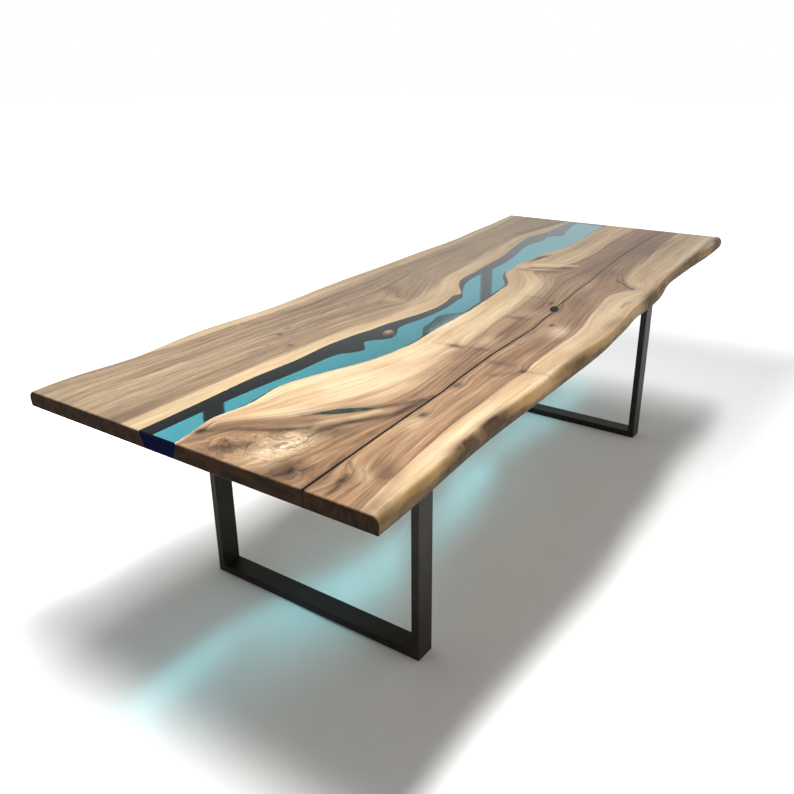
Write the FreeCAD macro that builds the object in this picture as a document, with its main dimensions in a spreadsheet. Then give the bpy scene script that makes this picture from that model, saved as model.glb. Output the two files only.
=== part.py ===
"""Live edge river dining table, built as a parametric FreeCAD document.

The top is three natural boards cast round a clear resin river, trimmed square at both
ends, with a black filled split that runs the length of the front board.  It stands on
two open U shaped leg frames of rectangular steel tube, each welded to a pair of
mounting plates.  Their slots let the timber move across its grain under the bolts, which
run into threaded inserts in the underside of the top.

Frame: +X along the top, towards the right-hand end; +Y towards the back; +Z up.  The
origin lies on the floor under the middle of the top.  All sizes are in millimetres.
"""
import FreeCAD, Part
import math
import os
import Sketcher

DOC = FreeCAD.newDocument("RiverTable")

# ---------------------------------------------------------------------------------------
# Driving dimensions
# ---------------------------------------------------------------------------------------

DIMENSIONS = (
    # The top as a whole
    ("table_length", 2660, "trimmed length of the top"),
    ("table_height", 760, "floor to the upper face of the top"),
    ("slab_thickness", 40, "thickness of boards and resin"),
    ("trim_allowance", 40, "rough length sawn off each end of the cast top"),
    ("edge_break", 2.5, "small chamfer along the sawn ends"),
    ("grain_drift", 110, "how far the boards run towards the back over the length"),
    ("line_unit", 1, "unit of the offsets in the tables of natural lines"),
    # Mean lines of the boards at mid-length, measured from the origin
    ("back_edge_line", 502, "outer live edge of the back board"),
    ("back_bank_line", 117, "river bank of the back board"),
    ("front_bank_line", -13, "river bank of the front board"),
    ("block_overlap", 60, "how far the block the river is cut from reaches past its banks"),
    ("split_line", -293, "centre of the filled split in the front board"),
    ("front_edge_line", -491, "outer live edge of the front board"),
    ("split_width_left", 6, "width of the split at the left-hand end"),
    ("split_width_right", 2.5, "width of the split at the right-hand end"),
    # Resin filled flaws in the front board
    ("knot_station", -40, "place of the filled knot along the length"),
    ("knot_length", 64, "long axis of the filled knot"),
    ("knot_width", 26, "short axis of the filled knot"),
    ("knot_depth", 14, "depth of the filled knot"),
    ("check_from_end", 320, "left-hand end to the middle of the filled check"),
    ("check_line", -238, "middle of the filled check across the top"),
    ("check_length", 150, "tip to tip length of the filled check"),
    ("check_width", 26, "greatest width of the filled check"),
    ("check_angle", -43, "direction of the filled check, degrees from +X"),
    ("check_depth", 16, "depth of the filled check"),
    # Leg frames
    ("frame_spacing", 1636, "distance between the middles of the two leg frames"),
    ("frame_shift", -9, "place of the pair of frames along the length"),
    ("frame_line", 37, "place of the frames across the table"),
    ("frame_width", 749, "outer width of a leg frame"),
    ("tube_depth", 66, "tube size along the table"),
    ("tube_width", 24, "tube size across the table, and height of the floor rail"),
    ("tube_wall", 2.5, "wall of the steel tube"),
    ("tube_corner", 3, "outer corner radius of the steel tube"),
    # Mounting plates and their fixings
    ("plate_length", 84, "plate size across the table"),
    ("plate_width", 120, "plate size along the table"),
    ("plate_thickness", 6, "thickness of the plate"),
    ("plate_corner", 8, "length cut off each corner of the plate"),
    ("bolt_spacing", 88, "bolt to bolt, along the table"),
    ("bolt_margin", 26, "inner edge of the plate to the line of its bolts"),
    ("bolt_diameter", 8, "shank of the bolt"),
    ("bolt_length", 22, "shank below the head"),
    ("bolt_head_width", 13, "hexagon head, across flats"),
    ("bolt_head_height", 5.3, "hexagon head"),
    ("bolt_clearance", 0.5, "gap between bolt and slot, each side"),
    ("slot_travel", 8, "how far a bolt can move along its slot"),
    ("insert_diameter", 12, "outside diameter of the threaded insert"),
    ("insert_length", 18, "length of the threaded insert"),
)

SHEET = DOC.addObject("Spreadsheet::Sheet", "dims")
for line, (alias, size, note) in enumerate(DIMENSIONS, start=1):
    SHEET.set(f"A{line}", alias)
    SHEET.set(f"B{line}", str(size))
    SHEET.set(f"C{line}", note)
    SHEET.setAlias(f"B{line}", alias)
DOC.recompute()


def size_of(alias):
    """Value of one driving dimension."""
    return float(getattr(SHEET, alias))


# ---------------------------------------------------------------------------------------
# Natural lines of the boards
#
# Each row is one station along the boards: its place as a share of the table's length
# (-0.5 at the left-hand end, 0.5 at the right-hand end), the distance of the line on the
# upper face from its mean line, towards the back, and how far the board stands out
# beyond that line at the underside.  Both distances are in line units.
# ---------------------------------------------------------------------------------------

BACK_EDGE = (
    (-0.500, 0, 7),
    (-0.455, 4, 8),
    (-0.388, -19, 9),
    (-0.345, -11, 8),
    (-0.300, -5, 7),
    (-0.255, -13, 9),
    (-0.200, -27, 10),
    (-0.113, -24, 10),
    (-0.030, -21, 9),
    (0.070, -27, 8),
    (0.165, -28, 9),
    (0.260, -34, 10),
    (0.330, -23, 9),
    (0.405, -17, 8),
    (0.450, -8, 8),
    (0.500, 3, 7),
)

BACK_BANK = (
    (-0.500, -1, 14),
    (-0.430, -2, 20),
    (-0.355, -4, 34),
    (-0.320, -12, 36),
    (-0.275, -13, 42),
    (-0.259, -13, 56),
    (-0.248, -15, 77),
    (-0.233, -20, 74),
    (-0.221, -24, 44),
    (-0.211, -28, 46),
    (-0.199, -36, 66),
    (-0.179, -44, 61),
    (-0.165, -50, 35),
    (-0.132, -70, 18),
    (-0.080, -90, 12),
    (-0.043, -77, 19),
    (-0.027, -73, 18),
    (-0.017, -80, 9),
    (-0.006, -66, 8),
    (0.019, -22, 18),
    (0.042, 3, 20),
    (0.080, 12, 16),
    (0.130, 24, 31),
    (0.190, 34, 34),
    (0.244, 60, 35),
    (0.300, 84, 42),
    (0.350, 93, 62),
    (0.371, 80, 47),
    (0.385, 73, 73),
    (0.404, 72, 73),
    (0.430, 70, 56),
    (0.465, 66, 36),
    (0.500, 63, 18),
)

FRONT_BANK = (
    (-0.500, 10, 12),
    (-0.475, 28, 14),
    (-0.451, 39, 16),
    (-0.425, 28, 24),
    (-0.399, 26, 24),
    (-0.370, 34, 20),
    (-0.338, 13, 10),
    (-0.310, -13, 10),
    (-0.275, -47, 10),
    (-0.235, -69, 12),
    (-0.205, -77, 22),
    (-0.168, -72, 26),
    (-0.143, -70, 58),
    (-0.122, -71, 66),
    (-0.092, -69, 68),
    (-0.075, -68, 34),
    (-0.050, -63, 24),
    (-0.010, -56, 24),
    (0.030, -45, 20),
    (0.065, -25, 14),
    (0.090, 16, 12),
    (0.110, 40, 12),
    (0.135, 47, 12),
    (0.170, 54, 10),
    (0.215, 41, 12),
    (0.235, 45, 12),
    (0.252, 38, 12),
    (0.270, 20, 14),
    (0.310, 8, 14),
    (0.350, 7, 14),
    (0.405, 13, 14),
    (0.450, 24, 12),
    (0.500, 23, 10),
)

FRONT_EDGE = (
    (-0.500, -12, 7),
    (-0.450, -6, 12),
    (-0.395, -5, 9),
    (-0.340, -2, 11),
    (-0.280, -4, 14),
    (-0.225, -7, 17),
    (-0.170, -11, 18),
    (-0.113, -20, 14),
    (-0.064, -25, 8),
    (-0.034, -20, 9),
    (0.005, -13, 12),
    (0.045, -4, 14),
    (0.090, -5, 16),
    (0.132, -1, 20),
    (0.170, 9, 22),
    (0.210, 13, 11),
    (0.263, 12, 8),
    (0.330, 7, 9),
    (0.430, -7, 8),
    (0.500, -2, 10),
)

SPLIT = (
    (-0.500, -48),
    (-0.395, -38),
    (-0.300, -35),
    (-0.263, -28),
    (-0.188, -21),
    (-0.094, -26),
    (-0.056, -17),
    (-0.024, -12),
    (0.000, 1),
    (0.038, 4),
    (0.075, 13),
    (0.120, 17),
    (0.188, 31),
    (0.293, 48),
    (0.395, 48),
    (0.450, 48),
    (0.500, 45),
)

# Levels of a board's section, from the upper face down: share of the thickness, share of
# the stand-out reached there, and the extra roundness of a live edge there, as a share of
# the thickness.
LEVELS = (
    ("top", 0.0, 0.0, 0.0),
    ("shoulder", 0.16, 0.14, 0.1),
    ("belly", 0.55, 0.62, 0.125),
    ("underside", 1.0, 1.0, -0.025),
)

TOWARDS_BACK = 1
TOWARDS_FRONT = -1
STATIONS_PER_SPAN = 3


def along(share):
    """X of a station; the end stations move out to the rough, untrimmed ends."""
    place = share * size_of("table_length")
    if abs(share) < 0.5:
        return place
    return place + (size_of("trim_allowance") if share > 0 else -size_of("trim_allowance"))


def natural_line(rows, mean_alias, reach_share=0.0, outward=TOWARDS_BACK, roundness=0.0):
    """Smooth curve through the stations of one natural line, at one level.

    The curve comes back as a chain of shorter ones, each a few stations long.
    """
    mean = size_of(mean_alias)
    drift = size_of("grain_drift")
    unit = size_of("line_unit")
    bulge = roundness * size_of("slab_thickness")
    points = []
    for share, offset, reach in rows:
        across = mean + drift * share + unit * offset
        across += outward * (unit * reach * reach_share + bulge)
        points.append(FreeCAD.Vector(along(share), across, 0))
    stations = [point.x for point in points]
    curve = Part.BSplineCurve()
    curve.interpolate(Points=points, Parameters=stations)
    breaks = stations[:-1:STATIONS_PER_SPAN] + [stations[-1]]
    chain = []
    for start, end in zip(breaks, breaks[1:]):
        span = curve.copy()
        span.segment(start, end)
        chain.append(span)
    return chain


def split_side(side):
    """One side of the split, which narrows from the left-hand to the right-hand end."""
    left = size_of("split_width_left")
    right = size_of("split_width_right")
    points = []
    for share, offset in SPLIT:
        half_width = (left + (right - left) * (share + 0.5)) / 2
        drift = size_of("grain_drift") * share
        middle = size_of("split_line") + drift + size_of("line_unit") * offset
        points.append(FreeCAD.Vector(along(share), middle + side * half_width, 0))
    return [Part.LineSegment(start, end) for start, end in zip(points, points[1:])]


def turned_back(chain):
    """The same chain of curves, run from its far end to its near end."""
    for curve in chain:
        curve.reverse()
    return chain[::-1]


# ---------------------------------------------------------------------------------------
# Helpers for bodies, sketches and features
# ---------------------------------------------------------------------------------------


def new_body(label):
    """Empty body whose label names its file."""
    body = DOC.addObject("PartDesign::Body", label)
    body.Label = label
    return body


def new_sketch(body, name, plane_role, height=None):
    """Sketch on one of the body's own origin planes, lifted by an expression."""
    planes = [item for item in body.Origin.OriginFeatures if item.Role == plane_role]
    sketch = body.newObject("Sketcher::SketchObject", f"{body.Name}_{name}")
    sketch.AttachmentSupport = [(planes[0], "")]
    sketch.MapMode = "FlatFace"
    if height is not None:
        sketch.setExpression(".AttachmentOffset.Base.z", height)
    return sketch


def outline(sketch, chains):
    """Closed outline of chains of curves, joined by straight lines end to end."""
    for place, chain in enumerate(chains):
        for curve in chain:
            sketch.addGeometry(curve)
        following = chains[(place + 1) % len(chains)][0]
        sketch.addGeometry(Part.LineSegment(chain[-1].EndPoint, following.StartPoint))


def polygon(sketch, corners):
    """Closed polygon whose corners are held at places given as expressions."""
    points = []
    for x_place, y_place in corners:
        x_value = float(sketch.evalExpression(x_place))
        y_value = float(sketch.evalExpression(y_place))
        points.append(FreeCAD.Vector(x_value, y_value, 0))
    first = sketch.GeometryCount
    count = len(points)
    for step in range(count):
        sketch.addGeometry(Part.LineSegment(points[step], points[(step + 1) % count]))
    for step in range(count):
        here = first + step
        after = first + (step + 1) % count
        sketch.addConstraint(Sketcher.Constraint("Coincident", here, 2, after, 1))
    for step, (x_place, y_place) in enumerate(corners):
        for kind, place, value in (
            ("DistanceX", x_place, points[step].x),
            ("DistanceY", y_place, points[step].y),
        ):
            number = sketch.addConstraint(
                Sketcher.Constraint(kind, -1, 1, first + step, 1, value)
            )
            sketch.setExpression(f"Constraints[{number}]", place)


def circle(sketch, x_place, y_place, diameter):
    """Circle held at a place, with its diameter given as an expression."""
    x_value = float(sketch.evalExpression(x_place))
    y_value = float(sketch.evalExpression(y_place))
    radius = float(sketch.evalExpression(diameter)) / 2
    middle = FreeCAD.Vector(x_value, y_value, 0)
    number = sketch.addGeometry(Part.Circle(middle, FreeCAD.Vector(0, 0, 1), radius))
    for kind, place, value in (
        ("DistanceX", x_place, x_value),
        ("DistanceY", y_place, y_value),
    ):
        constraint = sketch.addConstraint(Sketcher.Constraint(kind, -1, 1, number, 3, value))
        sketch.setExpression(f"Constraints[{constraint}]", place)
    constraint = sketch.addConstraint(Sketcher.Constraint("Diameter", number, 2 * radius))
    sketch.setExpression(f"Constraints[{constraint}]", diameter)


def slot(sketch, x_place, y_place, width, travel):
    """Slot across the table: two half circles joined by straight sides."""
    x_value = float(sketch.evalExpression(x_place))
    ends = (f"{y_place} + ({travel}) / 2", f"{y_place} - ({travel}) / 2")
    radius = float(sketch.evalExpression(width)) / 2
    arcs = []
    for y_end, start in zip(ends, (0, math.pi)):
        y_value = float(sketch.evalExpression(y_end))
        middle = FreeCAD.Vector(x_value, y_value, 0)
        rim = Part.Circle(middle, FreeCAD.Vector(0, 0, 1), radius)
        arc = sketch.addGeometry(Part.ArcOfCircle(rim, start, start + math.pi))
        for kind, place, value in (("DistanceX", x_place, x_value), ("DistanceY", y_end, y_value)):
            number = sketch.addConstraint(Sketcher.Constraint(kind, -1, 1, arc, 3, value))
            sketch.setExpression(f"Constraints[{number}]", place)
        number = sketch.addConstraint(Sketcher.Constraint("Diameter", arc, 2 * radius))
        sketch.setExpression(f"Constraints[{number}]", width)
        arcs.append(arc)
    for arc, other in (arcs, arcs[::-1]):
        leaving = sketch.Geometry[arc].EndPoint
        arriving = sketch.Geometry[other].StartPoint
        side = sketch.addGeometry(Part.LineSegment(leaving, arriving))
        sketch.addConstraint(Sketcher.Constraint("Tangent", arc, 2, side, 1))
        sketch.addConstraint(Sketcher.Constraint("Tangent", side, 2, other, 1))


def half_box(x_half, y_half):
    """Corners of a rectangle centred on the sketch, from its half sizes."""
    return (
        (f"-({x_half})", f"-({y_half})"),
        (x_half, f"-({y_half})"),
        (x_half, y_half),
        (f"-({x_half})", y_half),
    )


def pad(body, sketch, length, midplane=False, reverse=False):
    """Pad with its length bound to an expression."""
    feature = body.newObject("PartDesign::Pad", f"{sketch.Name}_pad")
    feature.Profile = sketch
    feature.setExpression("Length", length)
    feature.Midplane = midplane
    feature.Reversed = reverse
    return feature


def pocket(body, sketch, length=None, midplane=False, reverse=False):
    """Pocket of a given depth, or right through when no length is given."""
    feature = body.newObject("PartDesign::Pocket", f"{sketch.Name}_pocket")
    feature.Profile = sketch
    if length is None:
        feature.Type = "ThroughAll"
    else:
        feature.setExpression("Length", length)
    feature.Midplane = midplane
    feature.Reversed = reverse
    return feature


def edges_where(feature, test):
    """Names of the edges of a feature that pass a test."""
    return [
        f"Edge{number}"
        for number, edge in enumerate(feature.Shape.Edges, start=1)
        if test(edge)
    ]


def runs_along(edge, axis):
    """True for a straight edge parallel to an axis."""
    if not isinstance(edge.Curve, Part.Line):
        return False
    return abs(abs(edge.Curve.Direction.dot(axis)) - 1) < 1e-6


def dress_edges(body, feature, kind, test, size):
    """Fillet or chamfer of the chosen edges, its size bound to an expression."""
    DOC.recompute()
    dressing = body.newObject(f"PartDesign::{kind}", f"{feature.Name}_{kind.lower()}")
    dressing.Base = (feature, edges_where(feature, test))
    dressing.setExpression("Radius" if kind == "Fillet" else "Size", size)
    return dressing


def place(node, x="0", y="0", z="0", turned=False):
    """Placement of a sub-part, bound to expressions, turned half round if asked."""
    if turned:
        node.Placement = FreeCAD.Placement(
            FreeCAD.Vector(0, 0, 0), FreeCAD.Rotation(FreeCAD.Vector(0, 0, 1), 180)
        )
    node.setExpression(".Placement.Base.x", x)
    node.setExpression(".Placement.Base.y", y)
    node.setExpression(".Placement.Base.z", z)


# ---------------------------------------------------------------------------------------
# Places of the leg frames and of their fixings
# ---------------------------------------------------------------------------------------

UNDERSIDE = "dims.table_height - dims.slab_thickness"
ENDS = (("left", -1), ("right", 1))
SIDES = (("back", TOWARDS_BACK), ("front", TOWARDS_FRONT))


def frame_x(end):
    """Place of a leg frame along the table."""
    return f"dims.frame_shift + {end} * dims.frame_spacing / 2"


def bolt_y(side):
    """Place of the bolts of one plate, across the table."""
    from_frame = "dims.frame_width / 2 - dims.plate_length + dims.bolt_margin"
    return f"dims.frame_line + {side} * ({from_frame})"


def bolt_places():
    """Expressions for the places of all the bolts in the top."""
    places = []
    for _, end in ENDS:
        for _, side in SIDES:
            for step in (-1, 1):
                x_place = f"{frame_x(end)} + {step} * dims.bolt_spacing / 2"
                places.append((x_place, bolt_y(side)))
    return places


# ---------------------------------------------------------------------------------------
# The top
# ---------------------------------------------------------------------------------------


def finish_ends(body):
    """Both ends of a piece of the top, sawn square and with their edges broken."""
    rough = "dims.table_length / 2 + 2 * dims.trim_allowance"
    end = "dims.table_length / 2"
    half_width = "dims.table_length / 2"
    trim = new_sketch(body, "trim", "XY_Plane", UNDERSIDE)
    for side in ("-", ""):
        polygon(trim, (
            (f"{side}({end})", f"-({half_width})"),
            (f"{side}({rough})", f"-({half_width})"),
            (f"{side}({rough})", half_width),
            (f"{side}({end})", half_width),
        ))
    pocket(body, trim, "3 * dims.slab_thickness", midplane=True)
    DOC.recompute()
    breaks = new_sketch(body, "edge_breaks", "XZ_Plane")
    faces = (("dims.table_height", "-"), (UNDERSIDE, "+"))
    for side in ("-", ""):
        for face, inward in faces:
            polygon(breaks, (
                (f"{side}({end})", face),
                (f"{side}({end} - dims.edge_break)", face),
                (f"{side}({end})", f"{face} {inward} dims.edge_break"),
            ))
    pocket(body, breaks, "2 * dims.table_length", midplane=True)
    DOC.recompute()


def board(label, near_line, far_line):
    """Board lofted through its levels, trimmed square, with its bores for the inserts.

    Each line is a function that gives the curve of that side at one level.
    """
    body = new_body(label)
    sections = []
    for level, depth_share, reach_share, roundness in LEVELS:
        height = f"dims.table_height - {depth_share} * dims.slab_thickness"
        sketch = new_sketch(body, level, "XY_Plane", height)
        near_chain = near_line(reach_share, roundness)
        far_chain = far_line(reach_share, roundness)
        outline(sketch, (near_chain, turned_back(far_chain)))
        sections.append(sketch)
    loft = body.newObject("PartDesign::AdditiveLoft", f"{label}_loft")
    loft.Profile = (sections[0], [""])
    loft.Sections = [(section, [""]) for section in sections[1:]]
    loft.Ruled = True
    DOC.recompute()
    finish_ends(body)
    bores = new_sketch(body, "bores", "XY_Plane", UNDERSIDE)
    for x_place, y_place in bolt_places():
        circle(bores, x_place, y_place, "dims.insert_diameter")
    pocket(body, bores, "dims.insert_length", reverse=True)
    DOC.recompute()
    return body


def knot_outline(sketch):
    """Oval of the filled knot, which the split runs through."""
    share = size_of("knot_station") / size_of("table_length")
    left_row, right_row = [
        (row, following)
        for row, following in zip(SPLIT, SPLIT[1:])
        if row[0] <= share <= following[0]
    ][0]
    blend = (share - left_row[0]) / (right_row[0] - left_row[0])
    offset = left_row[1] + blend * (right_row[1] - left_row[1])
    across = size_of("split_line") + size_of("grain_drift") * share
    across += size_of("line_unit") * offset + size_of("knot_width") / 8
    middle = FreeCAD.Vector(size_of("knot_station"), across, 0)
    oval = Part.Ellipse(middle, size_of("knot_length") / 2, size_of("knot_width") / 2)
    oval.AngleXU = 0.35
    sketch.addGeometry(oval)


def check_outline(sketch):
    """Lens of the filled check: two arcs that meet at its tips."""
    station = size_of("check_from_end") - size_of("table_length") / 2
    middle = FreeCAD.Vector(station, size_of("check_line"), 0)
    turn = FreeCAD.Rotation(FreeCAD.Vector(0, 0, 1), size_of("check_angle"))
    half_length = size_of("check_length") / 2
    half_width = size_of("check_width") / 2
    corners = []
    lens = ((-half_length, 0), (0, half_width), (half_length, 0), (0, -half_width))
    for x_place, y_place in lens:
        corners.append(middle + turn.multVec(FreeCAD.Vector(x_place, y_place, 0)))
    tip, upper, other_tip, lower = corners
    sketch.addGeometry(Part.Arc(tip, upper, other_tip))
    sketch.addGeometry(Part.Arc(other_tip, lower, tip))


def cut_flaw(body, name, draw, depth):
    """Hollow of one flaw, cut down from the upper face of a board."""
    sketch = new_sketch(body, name, "XY_Plane", "dims.table_height")
    draw(sketch)
    pocket(body, sketch, depth)
    DOC.recompute()


back_board = board(
    "back_board",
    lambda share, extra: natural_line(BACK_BANK, "back_bank_line", share, TOWARDS_FRONT),
    lambda share, extra: natural_line(BACK_EDGE, "back_edge_line", share, TOWARDS_BACK, extra),
)
front_inner_board = board(
    "front_inner_board",
    lambda share, extra: split_side(TOWARDS_BACK),
    lambda share, extra: natural_line(FRONT_BANK, "front_bank_line", share, TOWARDS_BACK),
)
front_outer_board = board(
    "front_outer_board",
    lambda share, extra: natural_line(
        FRONT_EDGE, "front_edge_line", share, TOWARDS_FRONT, extra
    ),
    lambda share, extra: split_side(TOWARDS_FRONT),
)
cut_flaw(front_inner_board, "knot", knot_outline, "dims.knot_depth")
cut_flaw(front_inner_board, "check", check_outline, "dims.check_depth")
cut_flaw(front_outer_board, "knot", knot_outline, "dims.knot_depth")


def split_fill():
    """Black resin poured into the split and the knot hollow in one go."""
    body = new_body("black_split_fill")
    strip = new_sketch(body, "strip", "XY_Plane", UNDERSIDE)
    outline(strip, (split_side(TOWARDS_FRONT), turned_back(split_side(TOWARDS_BACK))))
    pad(body, strip, "dims.slab_thickness")
    DOC.recompute()
    knot = new_sketch(body, "knot", "XY_Plane", "dims.table_height")
    knot_outline(knot)
    pad(body, knot, "dims.knot_depth", reverse=True)
    DOC.recompute()
    finish_ends(body)
    return body


def check_fill():
    """Teal resin in the check near the left-hand end."""
    body = new_body("teal_check_fill")
    sketch = new_sketch(body, "lens", "XY_Plane", "dims.table_height")
    check_outline(sketch)
    pad(body, sketch, "dims.check_depth", reverse=True)
    return body


def river():
    """Clear resin between the banks: a block of the top less the boards cast into it."""
    block = new_body("river_block")
    sketch = new_sketch(block, "block", "XY_Plane", UNDERSIDE)
    rough_end = "dims.table_length / 2 + dims.trim_allowance"
    overlap = "dims.block_overlap"
    polygon(sketch, (
        (f"-({rough_end})", f"dims.front_bank_line - dims.grain_drift - {overlap}"),
        (rough_end, f"dims.front_bank_line - {overlap}"),
        (rough_end, f"dims.back_bank_line + dims.grain_drift + {overlap}"),
        (f"-({rough_end})", f"dims.back_bank_line + {overlap}"),
    ))
    pad(block, sketch, "dims.slab_thickness")
    DOC.recompute()
    finish_ends(block)
    without_back = DOC.addObject("Part::Cut", "river_without_back")
    without_back.Base = block
    without_back.Tool = back_board
    resin = DOC.addObject("Part::Cut", "resin_river")
    resin.Base = without_back
    resin.Tool = front_inner_board
    resin.Label = "resin_river"
    DOC.recompute()
    return resin


black_split_fill = split_fill()
teal_check_fill = check_fill()
resin_river = river()

# ---------------------------------------------------------------------------------------
# Leg frames
# ---------------------------------------------------------------------------------------

Z_AXIS = FreeCAD.Vector(0, 0, 1)
Y_AXIS = FreeCAD.Vector(0, 1, 0)
HALF_FRAME = "dims.frame_width / 2"
POST_TOP = f"{UNDERSIDE} - dims.plate_thickness"


def hollow_tube(body, plane_role, length, axis, midplane):
    """Rectangular steel tube with rounded corners along its length."""
    outer = ("dims.tube_depth / 2", "dims.tube_width / 2")
    section = new_sketch(body, "section", plane_role)
    polygon(section, half_box(*outer))
    solid = pad(body, section, length, midplane=midplane)
    dress_edges(body, solid, "Fillet", lambda edge: runs_along(edge, axis), "dims.tube_corner")
    hollow = new_sketch(body, "hollow", plane_role)
    polygon(hollow, half_box(*(f"{half} - dims.tube_wall" for half in outer)))
    pocket(body, hollow, f"2 * ({length})", midplane=True)
    DOC.recompute()


def leg_post(label, end, side):
    """Post of a leg frame, mitred at its foot to meet the floor rail."""
    body = new_body(label)
    hollow_tube(body, "XY_Plane", POST_TOP, Z_AXIS, midplane=False)
    mitre = new_sketch(body, "mitre", "YZ_Plane")
    polygon(mitre, (
        ("-dims.tube_width / 2", "0"),
        ("dims.tube_width / 2", "0"),
        ("-dims.tube_width / 2", "dims.tube_width"),
    ))
    pocket(body, mitre, "2 * dims.tube_depth", midplane=True)
    DOC.recompute()
    place(
        body,
        frame_x(end),
        f"dims.frame_line + {side} * (dims.frame_width - dims.tube_width) / 2",
        "0",
        turned=side == TOWARDS_FRONT,
    )
    return body


def floor_rail(label, end):
    """Rail of a leg frame, mitred at both ends, that lies on the floor."""
    body = new_body(label)
    hollow_tube(body, "XZ_Plane", "dims.frame_width", Y_AXIS, midplane=True)
    mitres = new_sketch(body, "mitres", "YZ_Plane")
    for side in ("-", ""):
        polygon(mitres, (
            (f"{side}({HALF_FRAME})", "-dims.tube_width / 2"),
            (f"{side}({HALF_FRAME})", "dims.tube_width / 2"),
            (f"{side}({HALF_FRAME} - dims.tube_width)", "dims.tube_width / 2"),
        ))
    pocket(body, mitres, "2 * dims.tube_depth", midplane=True)
    DOC.recompute()
    place(body, frame_x(end), "dims.frame_line", "dims.tube_width / 2")
    return body


# ---------------------------------------------------------------------------------------
# Mounting plates, inserts and bolts
#
# Each of these bodies is modelled about the middle of the line between its two bolts,
# with the post towards +Y, and placed there.
# ---------------------------------------------------------------------------------------

BOLTS = ("-dims.bolt_spacing / 2", "dims.bolt_spacing / 2")


def place_at_bolts(node, end, side, height):
    """Placement of a plate or of its fixings."""
    place(node, frame_x(end), bolt_y(side), height, turned=side == TOWARDS_FRONT)


def mounting_plate(label, end, side):
    """Steel plate welded to the top of a post, with its corners cut and two slots."""
    body = new_body(label)
    blank_outline = new_sketch(body, "outline", "XY_Plane")
    half_width = "dims.plate_width / 2"
    inner = "-dims.bolt_margin"
    outer = "dims.plate_length - dims.bolt_margin"
    polygon(blank_outline, (
        (f"-{half_width}", inner),
        (half_width, inner),
        (half_width, outer),
        (f"-{half_width}", outer),
    ))
    blank = pad(body, blank_outline, "dims.plate_thickness")
    dress_edges(body, blank, "Chamfer", lambda edge: runs_along(edge, Z_AXIS), "dims.plate_corner")
    slots = new_sketch(body, "slots", "XY_Plane")
    for x_place in BOLTS:
        slot(slots, x_place, "0", "dims.bolt_diameter + 2 * dims.bolt_clearance", "dims.slot_travel")
    pocket(body, slots, "4 * dims.plate_thickness", midplane=True)
    DOC.recompute()
    place_at_bolts(body, end, side, POST_TOP)
    return body


def threaded_inserts(label, end, side):
    """Two threaded inserts in the underside of the top, above the slots of one plate."""
    body = new_body(label)
    sleeves = new_sketch(body, "sleeves", "XY_Plane")
    for x_place in BOLTS:
        circle(sleeves, x_place, "0", "dims.insert_diameter")
        circle(sleeves, x_place, "0", "dims.bolt_diameter")
    pad(body, sleeves, "dims.insert_length")
    DOC.recompute()
    place_at_bolts(body, end, side, UNDERSIDE)
    return body


def hexagon_bolts(label, end, side):
    """Two hexagon head bolts of one plate, heads down."""
    body = new_body(label)
    shanks = new_sketch(body, "shanks", "XY_Plane")
    heads = new_sketch(body, "heads", "XY_Plane")
    corner = "dims.bolt_head_width / sqrt(3)"
    for x_place in BOLTS:
        circle(shanks, x_place, "0", "dims.bolt_diameter")
        polygon(heads, [
            (f"{x_place} + {corner} * cos({angle})", f"{corner} * sin({angle})")
            for angle in range(0, 360, 60)
        ])
    pad(body, shanks, "dims.bolt_length")
    pad(body, heads, "dims.bolt_head_height", reverse=True)
    DOC.recompute()
    place_at_bolts(body, end, side, POST_TOP)
    return body


leg_nodes = []
for end_name, end in ENDS:
    leg_nodes.append(floor_rail(f"{end_name}_leg_floor_rail", end))
    for side_name, side in SIDES:
        leg = f"{end_name}_leg_{side_name}"
        leg_nodes.append(leg_post(f"{leg}_post", end, side))
        leg_nodes.append(mounting_plate(f"{leg}_plate", end, side))
        leg_nodes.append(threaded_inserts(f"{leg}_inserts", end, side))
        leg_nodes.append(hexagon_bolts(f"{leg}_bolts", end, side))

DOC.recompute()

# ---------------------------------------------------------------------------------------
# Checks and export
# ---------------------------------------------------------------------------------------

NODES = [
    back_board,
    front_inner_board,
    front_outer_board,
    resin_river,
    black_split_fill,
    teal_check_fill,
] + leg_nodes

for item in DOC.Objects:
    if "Invalid" in item.State or "Error" in item.State:
        raise RuntimeError(f"{item.Label} did not compute: {item.State}")

os.makedirs("parts", exist_ok=True)
for node in NODES:
    shape = node.Shape
    if shape.isNull() or not shape.isValid():
        raise RuntimeError(f"{node.Label} has no valid shape")
    shape.exportStep(f"parts/{node.Label}.step")
    box = shape.BoundBox
    print(
        f"{node.Label}: {len(shape.Solids)} solids, volume {shape.Volume / 1000:.1f} cm3, "
        f"X {box.XMin:.1f}..{box.XMax:.1f}, Y {box.YMin:.1f}..{box.YMax:.1f}, "
        f"Z {box.ZMin:.1f}..{box.ZMax:.1f}"
    )
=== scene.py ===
"""Live edge river dining table, dressed for the studio.

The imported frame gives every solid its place.  The three walnut boards are built again
here with fine natural edges and a grain field of their own; the resin, the fills and the
steel frames keep their solids and get their finishes.  Natural lines, knots and marks
are given in millimetres, everything else in metres.
"""
from __future__ import annotations

import logging
import math
from dataclasses import dataclass
from enum import Enum
from functools import cached_property, partial, reduce
from typing import Any, Iterable, Sequence

import bmesh
import bpy
import numpy as np
from mathutils import Matrix, Vector

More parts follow.
